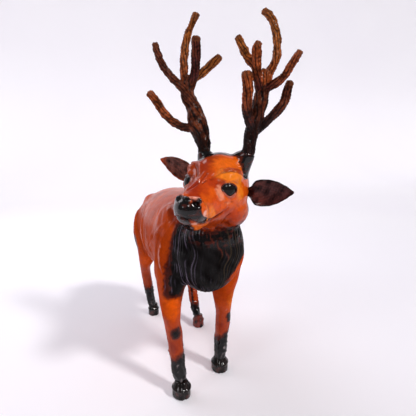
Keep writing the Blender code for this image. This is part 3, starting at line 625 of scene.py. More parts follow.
# Tones of the legs, and painted highlights on the knee caps: path, reach, colour, strength
LEG_TONES = [
    ([(-41, -88, 96), (-41, -88, 118), (-42, -84, 136)], 11.0, TAN_BRIGHT, 0.5),
    ([(33, -70, 92), (33, -70, 112), (34, -66, 130)], 10.0, (0.85, 0.20, 0.008), 0.55),
    ([(-42, -90, 60), (-40, -91, 54)], 6.0, (0.26, 0.016, 0.002), 0.7),
    ([(22, -72, 62), (24, -74, 54)], 6.0, (0.30, 0.020, 0.002), 0.6),
    # Painted highlights on the knee caps
    ([(-41, -91, 82), (-37, -92, 83)], 3.2, (0.85, 0.46, 0.36), 0.65),
    ([(25, -78, 82), (29, -78, 83.5)], 2.8, (0.85, 0.50, 0.42), 0.65),
]
# Painted highlights (glints) down the fronts of the dyed lower legs: path and reach
GLINTS = [
    ([(-34.5, -97.5, 18), (-35.5, -96.5, 27), (-37, -95.5, 36)], 3.9),
    ([(24, -71.5, 18), (25, -71, 28), (26, -71.5, 34)], 2.8),
    ([(-28, 100, 20), (-29, 99, 34)], 2.6),
    ([(30, 41, 18), (30, 43, 28)], 2.6),
]


def head_axes():
    """The head's own axes (right, forward, up), as the columns of a 3 x 3 array."""
    turn, lift, tilt = (math.radians(a) for a in (HEAD_TURN, HEAD_LIFT, HEAD_TILT))
    forward = np.array((-math.sin(turn) * math.cos(lift), -math.cos(turn) * math.cos(lift), math.sin(lift)))
    level_left = np.array((math.cos(turn), -math.sin(turn), 0.0))
    level_up = -np.cross(level_left, forward)
    left = level_left * math.cos(tilt) - level_up * math.sin(tilt)
    return np.array((-left, forward, np.cross(forward, left))).T


HEAD_AXES = head_axes()


def from_head(points):
    """Points in the head's axes turned into points of the drawing."""
    return np.asarray(points, float) @ HEAD_AXES.T + np.array(HEAD_CENTRE)


def to_head(points):
    """Points of the drawing turned into points in the head's axes."""
    return (points - np.array(HEAD_CENTRE)) @ HEAD_AXES


def drawing_place():
    """Where the drawing's origin is in the row frame, in millimetres, read from an eye's solid."""
    low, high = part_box("eye_right")
    return np.array((low + high) / 2) * 1000 - from_head(EYE_PLACE)


PLACE = drawing_place()


def in_frame(points):
    """Drawn points, in millimetres, in the row frame in metres, kept within the solids' own box."""
    moved = (np.asarray(points, float) + PLACE) / 1000
    return np.clip(moved, np.array(SOLID_BOX[0]), np.array(SOLID_BOX[1]))


def ease(start, end, values):
    """0 before start, 1 past end, with a smooth step between."""
    t = np.clip((np.asarray(values, float) - start) / (end - start), 0, 1)
    return t * t * (3 - 2 * t)


def waves(points, length, seed, count=7):
    """Smooth noise between about -1 and 1, made of sine waves of about one length."""
    draw = np.random.default_rng(seed)
    total = np.zeros(len(points))
    for _ in range(count):
        direction = draw.normal(size=3)
        direction *= 2 * math.pi / (length * draw.uniform(0.6, 1.5) * np.linalg.norm(direction))
        total += np.sin(points @ direction + draw.uniform(0, 6.28))
    return total / math.sqrt(count)


def mixed(base, colour, share):
    """Rows of colours drawn towards another colour by a share for each row."""
    share = np.clip(share, 0, 1)[:, None]
    return base * (1 - share) + np.asarray(colour, float) * share


def looked_up(values, rows):
    """What a table of (from, to) rows gives for each value."""
    return np.interp(values, *zip(*rows))


def curve_rows(rows, steps):
    """Rows of numbers joined by a Catmull-Rom curve with so many steps between each two."""
    rows = np.array(rows, float)
    ends = np.vstack([2 * rows[0] - rows[1], rows, 2 * rows[-1] - rows[-2]])
    out = []
    for i in range(len(rows) - 1):
        a, b, c, d = ends[i : i + 4]
        for t in np.arange(steps) / steps:
            second, third = 2 * a - 5 * b + 4 * c - d, 3 * b - a - 3 * c + d
            out.append(0.5 * (2 * b + (c - a) * t + second * t**2 + third * t**3))
    out.append(rows[-1])
    return np.array(out)


def path_axes(path, side):
    """At each point of a path: its direction, the axis across it nearest to a side, and the third axis."""
    side = np.array(side, float)
    along = np.gradient(path, axis=0)
    along /= np.linalg.norm(along, axis=1, keepdims=True)
    across = side - (along @ side)[:, None] * along
    across /= np.linalg.norm(across, axis=1, keepdims=True)
    return along, across, np.cross(along, across)


def join_loops(bm, loops, ring=False):
    """Faces between each loop of corners and the next; a ring closes on itself, and the rest is capped."""
    following = loops[1:] + loops[:1] if ring else loops[1:]
    for low, high in zip(loops, following):
        for k in range(len(low)):
            n = (k + 1) % len(low)
            bm.faces.new((low[k], low[n], high[n], high[k]))
    if not ring:
        bm.faces.new(list(reversed(loops[0])))
        bm.faces.new(loops[-1])


def tube(bm, rows, side, sides=24, steps=6, on_head=False, dome=0.6):
    """A closed loft along rows of x, y, z, half width, half depth with rounded ends."""
    rows = curve_rows(rows, steps)
    centres = rows[:, :3]
    widths, depths = np.maximum(rows[:, 3:5], THINNEST).T
    along, across, third = path_axes(centres, side)
    caps = DOME_STEPS if dome else ()
    stations = [(0, -cap) for cap in reversed(caps)]
    stations += [(i, 0.0) for i in range(len(rows))]
    stations += [(len(rows) - 1, cap) for cap in caps]
    angles = np.arange(sides) * 2 * math.pi / sides
    loops = []
    for i, end in stations:
        shrink = math.sqrt(1 - end * end)
        ring = centres[i] + along[i] * dome * min(widths[i], depths[i]) * end
        ring = ring + np.outer(np.cos(angles) * widths[i] * shrink, across[i])
        ring = ring + np.outer(np.sin(angles) * depths[i] * shrink, third[i])
        if on_head:
            ring = from_head(ring)
        loops.append([bm.verts.new(p) for p in ring])
    join_loops(bm, loops)


def ball(bm, centre, axes, on_head=False):
    """A closed ellipsoid by its centre and half axes."""
    made = bmesh.ops.create_uvsphere(bm, u_segments=28, v_segments=20, radius=1.0)["verts"]
    points = np.array([v.co for v in made]) * np.array(axes) + np.array(centre)
    if on_head:
        points = from_head(points)
    for vertex, point in zip(made, points):
        vertex.co = point


def section_rows(rows):
    """Rows of station, top, bottom, half width turned into a tube's rows along Y."""
    return [(0, station, (top + bottom) / 2, half, (top - bottom) / 2) for station, top, bottom, half in rows]


def mesh_from(bm, name):
    mesh = bpy.data.meshes.new(name)
    bm.to_mesh(mesh)
    bm.free()
    return mesh


def add_object(name, mesh):
    piece = bpy.data.objects.new(name, mesh)
    bpy.context.scene.collection.objects.link(piece)
    return piece


def fused(mesh, name, grain):
    """Overlapping closed shapes fused into one skin."""
    clay = add_object(name + "_clay", mesh)
    remesh = clay.modifiers.new("fuse", "REMESH")
    remesh.mode = "VOXEL"
    remesh.voxel_size = grain
    graph = bpy.context.evaluated_depsgraph_get()
    graph.update()
    result = bpy.data.meshes.new_from_object(clay.evaluated_get(graph), depsgraph=graph)
    result.name = name
    bpy.data.objects.remove(clay)
    bpy.data.meshes.remove(mesh)
    return result


def vectors(rows, key):
    """One vector of each row of a mesh's data, as an array."""
    values = np.empty(len(rows) * 3, np.float32)
    rows.foreach_get(key, values)
    return values.reshape(-1, 3).astype(float)


def get_points(mesh):
    return vectors(mesh.vertices, "co")


def set_points(mesh, points):
    mesh.vertices.foreach_set("co", points.astype(np.float32).ravel())
    mesh.update()


def set_paint(mesh, colours, gloss):
    """Colour of the leather and how glossy it is, at each point."""
    paint = mesh.attributes.new("paint", "FLOAT_COLOR", "POINT")
    rows = np.column_stack([np.clip(colours, 0, 1), np.ones(len(colours))])
    paint.data.foreach_set("color", rows.astype(np.float32).ravel())
    shine = mesh.attributes.new("gloss", "FLOAT", "POINT")
    shine.data.foreach_set("value", np.clip(gloss, 0, 1).astype(np.float32))


def neighbour_mean(mesh, values, rounds, weight=0.5):
    """Each point's values drawn towards its neighbours' mean."""
    ends = np.empty(len(mesh.edges) * 2, np.int32)
    mesh.edges.foreach_get("vertices", ends)
    one, two = ends.reshape(-1, 2).T
    values = np.array(values, float)
    count = np.bincount(one, minlength=len(values)) + np.bincount(two, minlength=len(values))
    weight = np.broadcast_to(np.asarray(weight, float), len(values))[:, None]
    for _ in range(rounds):
        total = np.empty_like(values)
        for axis in range(3):
            total[:, axis] = np.bincount(one, values[two, axis], len(values))
            total[:, axis] += np.bincount(two, values[one, axis], len(values))
        values += (total / count[:, None] - values) * weight
    return values


def bump(points, path, reach, height):
    """How far each point is raised by a stroke along a path; it fades out at its reach."""
    path = np.array(path, float) if len(path) == 1 else curve_rows(path, 6)
    rise = np.zeros(len(points))
    near = np.all((points > path.min(axis=0) - reach) & (points < path.max(axis=0) + reach), axis=1)
    close = points[near]
    gaps = np.full(len(close), np.inf)
    for spot in path:
        gaps = np.minimum(gaps, np.linalg.norm(close - spot, axis=1))
    rise[near] = height * np.clip(1 - (gaps / reach) ** 2, 0, None) ** 2
    return rise


def laid_on_skin(path, points, side):
    """A path of (along, up) points laid on the widest skin of one side."""
    laid = []
    for along, up in curve_rows(path, 6):
        near = np.abs(points[:, 1] - along) + np.abs(points[:, 2] - up) < 4.0
        laid.append((side * (side * points[near, 0]).max(), along, up))
    return np.array(laid)


def mane_share(points):
    """How much of the mane's relief there is at each point: 1 on the bib, 0 off it."""
    forward = np.clip((MANE_BACK_Y - points[:, 1]) / MANE_FADE, 0, 1)
    below = np.clip((MANE_TOP_Z - points[:, 2]) / MANE_FADE, 0, 1)
    above = np.clip((points[:, 2] - MANE_FOOT_Z) / MANE_FADE, 0, 1)
    return forward * below * above


def mane_angle(points):
    """The combed hair's running angle about the mane's axis, swaying a little as it falls."""
    around = np.arctan2(points[:, 0], MANE_AXIS_Y - points[:, 1])
    return around + 0.035 * np.sin(points[:, 2] / 21.0 + 2.0 * around) + 0.05 * waves(points, 38.0, 20)


def build_clay():
    bm = bmesh.new()
    across = (1.0, 0.0, 0.0)
    tube(bm, section_rows(TORSO), across, sides=40)
    tube(bm, NECK, across, sides=36)
    tube(bm, MANE, across, sides=36)
    tube(bm, TAIL, across, sides=18)
    for rows in LEGS.values():
        tube(bm, rows, across, sides=28)
    for centre, axes in MUSCLES:
        ball(bm, centre, axes)
    tube(bm, section_rows(SKULL), across, sides=40, on_head=True)
    for centre, axes in HEAD_MASSES:
        ball(bm, centre, axes, on_head=True)
    for foot, top in PEDICLES.values():
        width = ANTLER_ROOT_RADIUS + PEDICLE_WALL
        rows = [(*foot, width * PEDICLE_FLARE, width * PEDICLE_FLARE), (*top, width, width)]
        tube(bm, rows, across, sides=28, on_head=True, dome=0.0)
    return mesh_from(bm, "body_skin")


def torso_share(points):
    """1 on the torso, neck and thighs, which are smooth, and 0 on the head and the lower legs."""
    far = np.linalg.norm(points - np.array(HEAD_CENTRE), axis=1)
    off_head = np.clip((far - HEAD_REACH) / HEAD_FADE, 0, 1)
    return off_head * np.clip((points[:, 2] - LOWER_LEG_TOP) / LEG_FADE, 0, 1)


def refined(mesh):
    """Splits the faces of the head and the mane, where the fine relief is."""
    bm = bmesh.new()
    bm.from_mesh(mesh)
    points = np.array([v.co for v in bm.verts])
    in_head = to_head(points)
    head = np.all((in_head > FINE_HEAD[0]) & (in_head < FINE_HEAD[1]), axis=1)
    fine = head | (mane_share(points) > FINE_MANE)
    edges = [e for e in bm.edges if fine[e.verts[0].index] and fine[e.verts[1].index]]
    bmesh.ops.subdivide_edges(bm, edges=edges, cuts=1, use_grid_fill=True)
    bm.to_mesh(mesh)
    bm.free()
    mesh.update()


def fold_rise(points, in_head):
    """Folds, creases, nostrils and lips, in millimetres along the skin's normal."""
    rise = np.zeros(len(points))
    for side in (-1, 1):
        for path, reach, height in FLANK_FOLDS:
            rise += bump(points, laid_on_skin(path, points, side), reach, height)
        flip = np.array((-side, 1, 1))
        for path, reach, height in FACE_FOLDS:
            rise += bump(in_head, np.array(path) * flip, reach, height)
        for centre, reach, height in NOSTRILS:
            rise += bump(in_head, [np.array(centre) * flip], reach, height)
    for path, reach, height in LONE_FACE_FOLDS:
        rise += bump(in_head, path, reach, height)
    for path, reach, height in LEG_FOLDS:
        rise += bump(points, path, reach, height)
    rise += bump(in_head, LIPS, LIP_REACH, -LIP_DEPTH)
    return rise


def grain_rise(points):
    """Combed hair of the mane and the small unevenness of shrunk leather."""
    angle = mane_angle(points)
    share = mane_share(points)
    lock = np.abs(np.sin(angle * LOCKS + 0.4 * waves(points, 50.0, 23)))
    rise = LOCK_DEPTH * (lock - 0.6) * share
    vary = 0.6 + 0.5 * waves(points, 20.0, 25)
    strands = np.sin(angle * STRANDS) + 0.6 * np.sin(angle * STRANDS * 0.63)
    rise += STRAND_DEPTH * vary * strands * share
    rise += 0.07 * waves(points, 11.0, 3) + 0.035 * waves(points, 5.0, 4)
    lower_leg = 1 - ease(*WRINKLED_LEG, points[:, 2])
    rise += lower_leg * (0.45 * waves(points, 8.0, 5) + 0.35 * waves(points, 4.0, 6))
    return rise


def muzzle_dye(in_head, edge):
    """How much dye there is on the nose pad, in the nostrils, along the mouth and on the chin."""
    right, forward, up = in_head.T
    top, back, mouth = looked_up(right, PAD_TOP), looked_up(up, PAD_BACK), looked_up(forward, MOUTH_LINE)
    wobble = 0.5 * edge
    pad = ease(-0.9, 0.9, top - up + wobble) * ease(-1, 1, forward - back + wobble)
    pad *= ease(-1.5, 0, up - mouth)
    pad *= 1 - bump(in_head, SEPTUM, 2.3, 0.95)
    chin = ease(1.0, -0.5, up - mouth) * ease(*CHIN_RIGHT, right + wobble) * ease(*CHIN_FORWARD, forward)
    dye = np.maximum(pad, chin)
    centre, reach, _ = NOSTRILS[0]
    for side in (-1, 1):
        hole = bump(in_head, [np.array(centre) * (-side, 1, 1)], reach, 1.0)
        dye = np.maximum(dye, ease(0.30, 0.65, hole))
    return np.maximum(dye, ease(0.45, 0.85, bump(in_head, LIPS, LIP_REACH, 1.0)))


def mane_dye(points, in_head, on_head, edge):
    """The dyed mane: from the jaw down the front of the neck, up to its slanted left edge."""
    x, y, z = points.T
    right, _, up = in_head.T
    jaw = ease(3, -3, up - JAW_EDGE_UP - JAW_EDGE_SLOPE * np.abs(right) + 0.9 * edge)
    mane = ease(MANE_EDGE_Y + 6, MANE_EDGE_Y - 4, y + 0.9 * edge) * np.maximum(jaw, 1 - on_head)
    limit = looked_up(z, MANE_LEFT_EDGE) + 2 * edge * (z > MANE_SHOULDER_Z)
    return mane * ease(*MANE_FOOT_FADE, z + edge) * (1 - ease(-3, 3, x - limit + 0.8 * edge))


def crown_dye(in_head, on_head, edge):
    """The dark back of the head and the pedicles."""
    right, forward, up = in_head.T
    side_edge = CROWN_SIDE - CROWN_SLOPE * (CROWN_LOW - up)
    front = np.where(up > CROWN_LOW, looked_up(right, CROWN_EDGE), side_edge)
    back = ease(2.5, -2.5, forward - front + 0.8 * edge) * ease(*CROWN_FOOT, up + 3 * edge)
    return on_head * np.maximum(back, ease(*PEDICLE_DYE, up))


def leg_dye(points, edge):
    """The dyed lower legs, and the strokes of dye above them."""
    x, y, z = points.T
    dye = np.zeros(len(points))
    for name, top in LEG_DYE.items():
        foot = FEET[name]
        own = (np.abs(x - foot[0]) < LEG_BOX[0]) & (np.abs(y - foot[1]) < LEG_BOX[1]) & (z < LEG_BOX[2])
        lean = LEG_DYE_LEAN * (x - foot[0]) if name.startswith("front") else 0.0
        dye = np.maximum(dye, own * ease(6, -5, z - top - lean + 1.5 * edge))
    for path, reach, strength in LEG_PATCHES:
        stroke = bump(points + 0.5 * edge[:, None], path, reach, 1.0)
        dye = np.maximum(dye, strength * ease(0.05, 0.75, stroke))
    return dye


def inner_shade(points, edge):
    """Painted shade: the dark patch between the front legs, behind the foot of the mane."""
    x, y, z = points.T
    across = ease(*INNER_RIGHT, x + edge) * ease(*INNER_LEFT, x + edge)
    return 0.8 * across * ease(*INNER_FRONT, y) * ease(*INNER_FOOT, z + 2 * edge) * ease(*INNER_TOP, z)


def head_share(points, in_head):
    """1 on the head's skin and 0 on the body's."""
    far = np.linalg.norm(points - np.array(HEAD_CENTRE), axis=1)
    muzzle = ease(*MUZZLE_FORWARD, in_head[:, 1]) * ease(*MUZZLE_UP, in_head[:, 2])
    return np.maximum(ease(*HEAD_SKIN, far), muzzle)


def stroked(colour, spots, tones, spread, share=1.0):
    """Colours with a stroke of each tone laid over them."""
    for path, reach, tint, strength in tones:
        stroke = ease(0.0, 0.8, bump(spots, path, reach * spread, 1.0))
        colour = mixed(colour, tint, strength * share * stroke)
    return colour


def tan_tones(points, in_head, folds, on_head, edge):
    """The tan leather: blotches, a bright face, deeper cheeks and legs, painted shade on the lower right
    flank, on the far side of the face and in the creases, and painted highlights in the strokes of the legs
    and the face.
    """
    x, _, z = points.T
    right, forward, up = in_head.T
    blotch = 0.5 + 0.5 * waves(points, 34.0, 13, 14)
    fine = waves(points, 5.0, 14, 18)
    colour = np.tile(np.array(TAN), (len(points), 1))
    colour = mixed(colour, TAN_BRIGHT, 0.28 * ease(0.35, 1.1, blotch) + 0.04 * ease(0.2, 1.2, fine))
    colour = mixed(colour, TAN_DEEP, 0.30 * ease(0.45, -0.2, blotch) + 0.05 * ease(0.3, 1.2, -fine))
    # Strokes on the legs: tones, and painted highlights on the knee caps
    colour = stroked(colour, points + 0.5 * edge[:, None], LEG_TONES, 1.2)
    # Painted shade: the lower right flank, turned from the key light, drawn browner
    shaded_flank = (1 - on_head) * ease(*FLANK_TOP, z) * ease(*FLANK_SIDE, x) * ease(*FLANK_FOOT, z)
    colour = mixed(colour, FLANK_SHADE_BROWN, 0.6 * shaded_flank)
    colour = mixed(colour, TAN_BRIGHT, 0.65 * on_head * ease(*BRIGHT_FACE, up + 2 * edge))
    colour = mixed(colour, TAN_DEEP, 0.45 * on_head * ease(*DEEP_JAW, up + 4 * fine))
    # Painted shade: the far side of the face drawn deeper
    shaded_far_side = ease(*FAR_FACE, right + 1.5 * edge) * ease(*FAR_FACE_FORWARD, forward)
    colour = mixed(colour, TAN_DEEP, 0.75 * on_head * shaded_far_side)
    cheek = ease(*CHEEK_UP, up) * ease(*CHEEK_FORWARD, forward) * ease(0.2, 1.1, waves(points, 8.0, 16))
    colour = mixed(colour, CHEEK_BROWN, 0.7 * on_head * cheek)
    colour = mixed(colour, TAN_DEEP, 0.55 * ease(*DEEP_LEGS, z + 3 * edge))
    # Strokes on the face: tones and painted highlights
    colour = stroked(colour, in_head + 0.8 * edge[:, None], FACE_TONES, 1.3, on_head)
    # Painted shade: the cut creases drawn brown, more on the head
    creases = ease(0.25, 1.6, -folds)
    return mixed(colour, CREASE_SHADE, (0.3 + 0.45 * on_head) * creases)


def combed(colour, points, mane):
    """Painted lilac highlights on the mane's strands, brown strands on its left and a few red scratches."""
    x, _, z = points.T
    angle = mane_angle(points)
    bib = mane * ease(0.3, 0.8, mane_share(points))
    strand = np.sin(angle * PAINTED_STRANDS + 2.0 * waves(points, 60.0, 21))
    strand *= ease(-0.9, 0.5, np.sin(angle * PAINTED_LOCKS))
    strand_shine = ease(0.1, 0.95, strand) * ease(0.8, -0.3, waves(points, 22.0, 24)) * ease(117, 126, z)
    fringe = np.exp(-(((x - FRINGE_X) / FRINGE_WIDTH) ** 2)) * ease(118, 140, z) + 0.9 * ease(146, 118, z)
    # Painted highlight: lilac shine on the strands, along the right side and the lower fringe
    colour = mixed(colour, LILAC_HIGHLIGHT, 0.5 * bib * strand_shine * np.clip(fringe, 0, 1))
    colour = mixed(colour, STRAND_BROWN, 0.7 * bib * ease(0.0, 0.9, strand) * ease(-2, 8, x))
    scratch = bump(points, SCRATCH, SCRATCH_REACH, 1.0)
    scratch *= ease(0.2, 1.0, np.sin(angle * SCRATCH_STRANDS + 2.5 * waves(points, 16.0, 22)))
    return mixed(colour, SCRATCH_RED, 0.5 * bib * scratch)


def body_paint(points, in_head, folds):
    """Colour and gloss of the body's leather: tan, dyed black-brown on mane, muzzle, crown and lower legs,
    with painted shade between the front legs and painted highlights on the fold ridges, the lower legs and
    the mane.
    """
    z = points[:, 2]
    edge = waves(points, 9.0, 11) + 0.6 * waves(points, 4.0, 12)
    on_head = head_share(points, in_head)
    ridges = ease(1.0, 1.5, folds) * (1 - on_head) * ease(*RIDGE_FOOT, z)
    colour = tan_tones(points, in_head, folds, on_head, edge)
    # Pale rubbed leather and painted highlight along the raised fold ridges
    colour = mixed(colour, RIDGE_PALE_AND_HIGHLIGHT, 0.75 * ridges * ease(-0.9, 0.4, waves(points, 30.0, 17)))
    mane = mane_dye(points, in_head, on_head, edge)
    crown = crown_dye(in_head, on_head, edge)
    # The dye, with the painted shade between the front legs laid on like dye
    others = (inner_shade(points, edge), muzzle_dye(in_head, edge), leg_dye(points, edge))
    dye = np.maximum.reduce([mane, crown, *others])
    partial = dye * (1 - dye) * 4
    colour = mixed(colour, RED_BLACK, np.maximum(partial, dye))
    colour = mixed(colour, BLACK, ease(0.45, 0.95, dye))
    colour = mixed(colour, RUST, 0.75 * on_head * ease(0.1, 1.2, waves(points, 7.0, 18)) * dye)
    # Painted highlights: grey glints down the fronts of the dyed lower legs, broken up by noise
    glint_breaks = ease(-0.1, 0.7, waves(points, 5.0, 19))
    for path, reach in GLINTS:
        glint = bump(points + 0.6 * edge[:, None], path, reach, 1.0) * glint_breaks
        colour = mixed(colour, GLINT_HIGHLIGHT_GREY, 0.7 * ease(0.1, 0.9, glint))
    colour = combed(colour, points, mane)
    flank = (1 - on_head) * (1 - dye) * ease(*DULL_FLANK_TOP, z) * ease(*DULL_FLANK_FOOT, z)
    gloss = 0.42 + 0.07 * waves(points, 12.0, 15) - 0.28 * mane - 0.36 * flank + 0.5 * ridges
    gloss += dye * (0.40 * on_head + 0.15 * ease(80, 60, z))
    return colour, gloss


def build_body():
    """The whole skin: clay fused and smoothed, folded, combed, painted, and opened for the eyes."""
    mesh = fused(build_clay(), "body_skin", BODY_GRAIN)
    set_points(mesh, neighbour_mean(mesh, get_points(mesh), FIRST_SMOOTHING))
    points = get_points(mesh)
    set_points(mesh, neighbour_mean(mesh, points, TORSO_SMOOTHING, 0.5 * torso_share(points)))
    refined(mesh)
    set_points(mesh, neighbour_mean(mesh, get_points(mesh), LAST_SMOOTHING))
    points = get_points(mesh)
    in_head = to_head(points)
    folds = fold_rise(points, in_head)
    colours, gloss = body_paint(points, in_head, folds)
    points = points + vectors(mesh.vertex_normals, "vector") * (folds + grain_rise(points))[:, None]
    points = open_eyes(points)
    points[:, 2] = np.maximum(points[:, 2], HOOF_HEIGHT - LEG_IN_HOOF)
    set_points(mesh, in_frame(points))
    set_paint(mesh, colours, gloss)
    return add_object("body_skin", mesh)


def eye_axes(side):
    """Centre of an eye and its axes: along the face, up, and the way it looks; side is 1 on the right."""
    x, y, z = EYE_PLACE
    look = np.array((-side * EYE_LOOK[0], EYE_LOOK[1], EYE_LOOK[2]))
    look /= np.linalg.norm(look)
    up = np.array((0.0, 0.0, 1.0)) - look * look[2]
    up /= np.linalg.norm(up)
    forward = np.cross(up, look) * side
    return np.array((side * x, y, z)), np.array((forward, up, look))


def inside_outline(flat, outline):
    """Which flat points are inside a closed outline."""
    inside = np.zeros(len(flat), bool)
    for a, b in zip(outline, np.roll(outline, -1, axis=0)):
        crosses = (a[1] > flat[:, 1]) != (b[1] > flat[:, 1])
        at = (b[0] - a[0]) * (flat[:, 1] - a[1]) / (b[1] - a[1] + 1e-9) + a[0]
        inside ^= crosses & (flat[:, 0] < at)
    return inside


def lid_outline():
    """The opening between the lids as a closed smooth outline."""
    closed = LID_OPENING + LID_OPENING[:1]
    return curve_rows(closed, 6)[:-1]


def open_eyes(points):
    """Wraps the skin round each eyeball as lids and opens it between them."""
    in_head = to_head(points)
    outline = lid_outline()
    for side in (-1, 1):
        centre, axes = eye_axes(side)
        gaps = (in_head - centre) @ axes.T
        far = np.linalg.norm(gaps, axis=1)
        close = (far < EYE_RADIUS + LID_REACH) & (gaps[:, 2] > 0)
        spread = gaps[close]
        reach = far[close]
        on_ball = spread / reach[:, None] * EYE_RADIUS
        opening = inside_outline(on_ball[:, :2], outline)
        lifted = np.maximum(reach, EYE_RADIUS + LID_RISE)
        wanted = np.where(opening, EYE_RADIUS - EYE_CUT, lifted)
        spread = spread / reach[:, None] * wanted[:, None]
        in_head[close] = spread @ axes + centre
    return from_head(in_head)


def build_eye(side, name):
    bm = bmesh.new()
    bmesh.ops.create_uvsphere(bm, u_segments=48, v_segments=32, radius=EYE_RADIUS / 1000)
    mesh = mesh_from(bm, name)
    centre, _ = eye_axes(side)
    mesh.transform(Matrix.Translation(Vector((from_head(centre) + PLACE) / 1000)))
    return add_object(name, mesh)


def build_lid(side, name):
    """The rolled rim of the lids, a thin closed ring round the opening."""
    centre, axes = eye_axes(side)
    ring = []
    for along, up in lid_outline():
        out = math.sqrt(max(EYE_RADIUS**2 - along**2 - up**2, 1.0))
        spot = np.array((along, up, out))
        ring.append(spot / np.linalg.norm(spot) * (EYE_RADIUS + RIM_LIFT))
    ring = np.array(ring)
    count, sides = len(ring), 10
    bm = bmesh.new()
    loops = []
    for i, spot in enumerate(ring):
        t = ring[(i + 1) % count] - ring[i - 1]
        t /= np.linalg.norm(t)
        a = spot / np.linalg.norm(spot)
        b = np.cross(t, a)
        loop = []
        for k in range(sides):
            angle = 2 * math.pi * k / sides
            place = spot + LID_RIM * (math.cos(angle) * a + RIM_WIDTH * math.sin(angle) * b)
            loop.append(bm.verts.new(in_frame(from_head(place @ axes + centre))))
        loops.append(loop)
    join_loops(bm, loops, ring=True)
    bmesh.ops.recalc_face_normals(bm, faces=bm.faces)
    mesh = mesh_from(bm, name)
    lower = to_head(get_points(mesh) * 1000 - PLACE)[:, 2] < EYE_PLACE[2] - 1.0
    colours = np.where(lower[:, None], np.array(LID_RED), np.array(LID_DARK))
    set_paint(mesh, colours, np.full(len(colours), 0.9))
    return add_object(name, mesh)


def antler_lines(name):
    """Rows of x, y, z, radius along the beam and each tine, in the head's axes."""
    foot, top = (np.array(p, float) for p in PEDICLES[name])
    rise = (top - foot) / np.linalg.norm(top - foot)
    beam = [(*(top - rise * 4.0), ANTLER_ROOT_RADIUS)]
    beam += [(x, y, z, share * BEAM_RADIUS) for x, y, z, share in BEAMS[name]]
    lines = [np.array(beam)]
    for tine in TINES[name]:
        lines.append(np.array([(x, y, z, share * TINE_RADIUS) for x, y, z, share in tine]))
    return lines


# Colours along each branch, beam first: at its root and at its tip
ANTLER_COLOURS = {
    "antler_right": [
        (BARK, BARK), (BARK, BARK_RED), (BARK, BARK), (BARK_RED, OCHRE), (BARK_MAROON, BARK_MAROON),
        (OCHRE, OCHRE), (BARK, BARK),
    ],
    "antler_left": [
        (BARK_MAROON, BARK), (BARK_MAROON, BARK_RED), (BARK_MAROON, BARK), (BARK_MAROON, BARK_RED),
        (BARK_RED, OCHRE), (BARK_MAROON, BARK_RED), (BARK_RED, OCHRE), (BARK_RED, BARK_RED),
    ],
}
# The wound strips: how many go round, how deep the furrows between them and the threads on them are, and
# the length of a full turn, in millimetres
STRIPS = 8
STRIP_DEPTH = 0.75
THREAD_DEPTH = 0.16
STRIP_TURN = 46.0
# The dark roots: up in the head's axes, where they fade, and how much that wavers
DARK_ROOT = {"antler_right": (58, 44, 5), "antler_left": (98, 62, 6)}
TIP_START = 0.94


def nearest_branch(points, lines):
    """For each point: its branch, the share and the length along it, and the angle about it."""
    best = np.full(len(points), np.inf)
    branch = np.zeros(len(points), int)
    share, length, angle = (np.zeros(len(points)) for _ in range(3))
    for n, line in enumerate(lines):
        path = curve_rows(line, 8)
        steps = np.r_[0, np.cumsum(np.linalg.norm(np.diff(path[:, :3], axis=0), axis=1))]
        along, across, third = path_axes(path[:, :3], (0, 1, 0))
        for i, row in enumerate(path):
            offset = points - row[:3]
            gap = np.linalg.norm(offset, axis=1) / row[3]
            closer = gap < best
            best[closer] = gap[closer]
            branch[closer] = n
            forward = offset[closer] @ along[i]
            length[closer] = steps[i] + forward
            share[closer] = (steps[i] + forward) / steps[-1]
            angle[closer] = np.arctan2(offset[closer] @ third[i], offset[closer] @ across[i])
    return branch, np.clip(share, 0, 1), length, angle


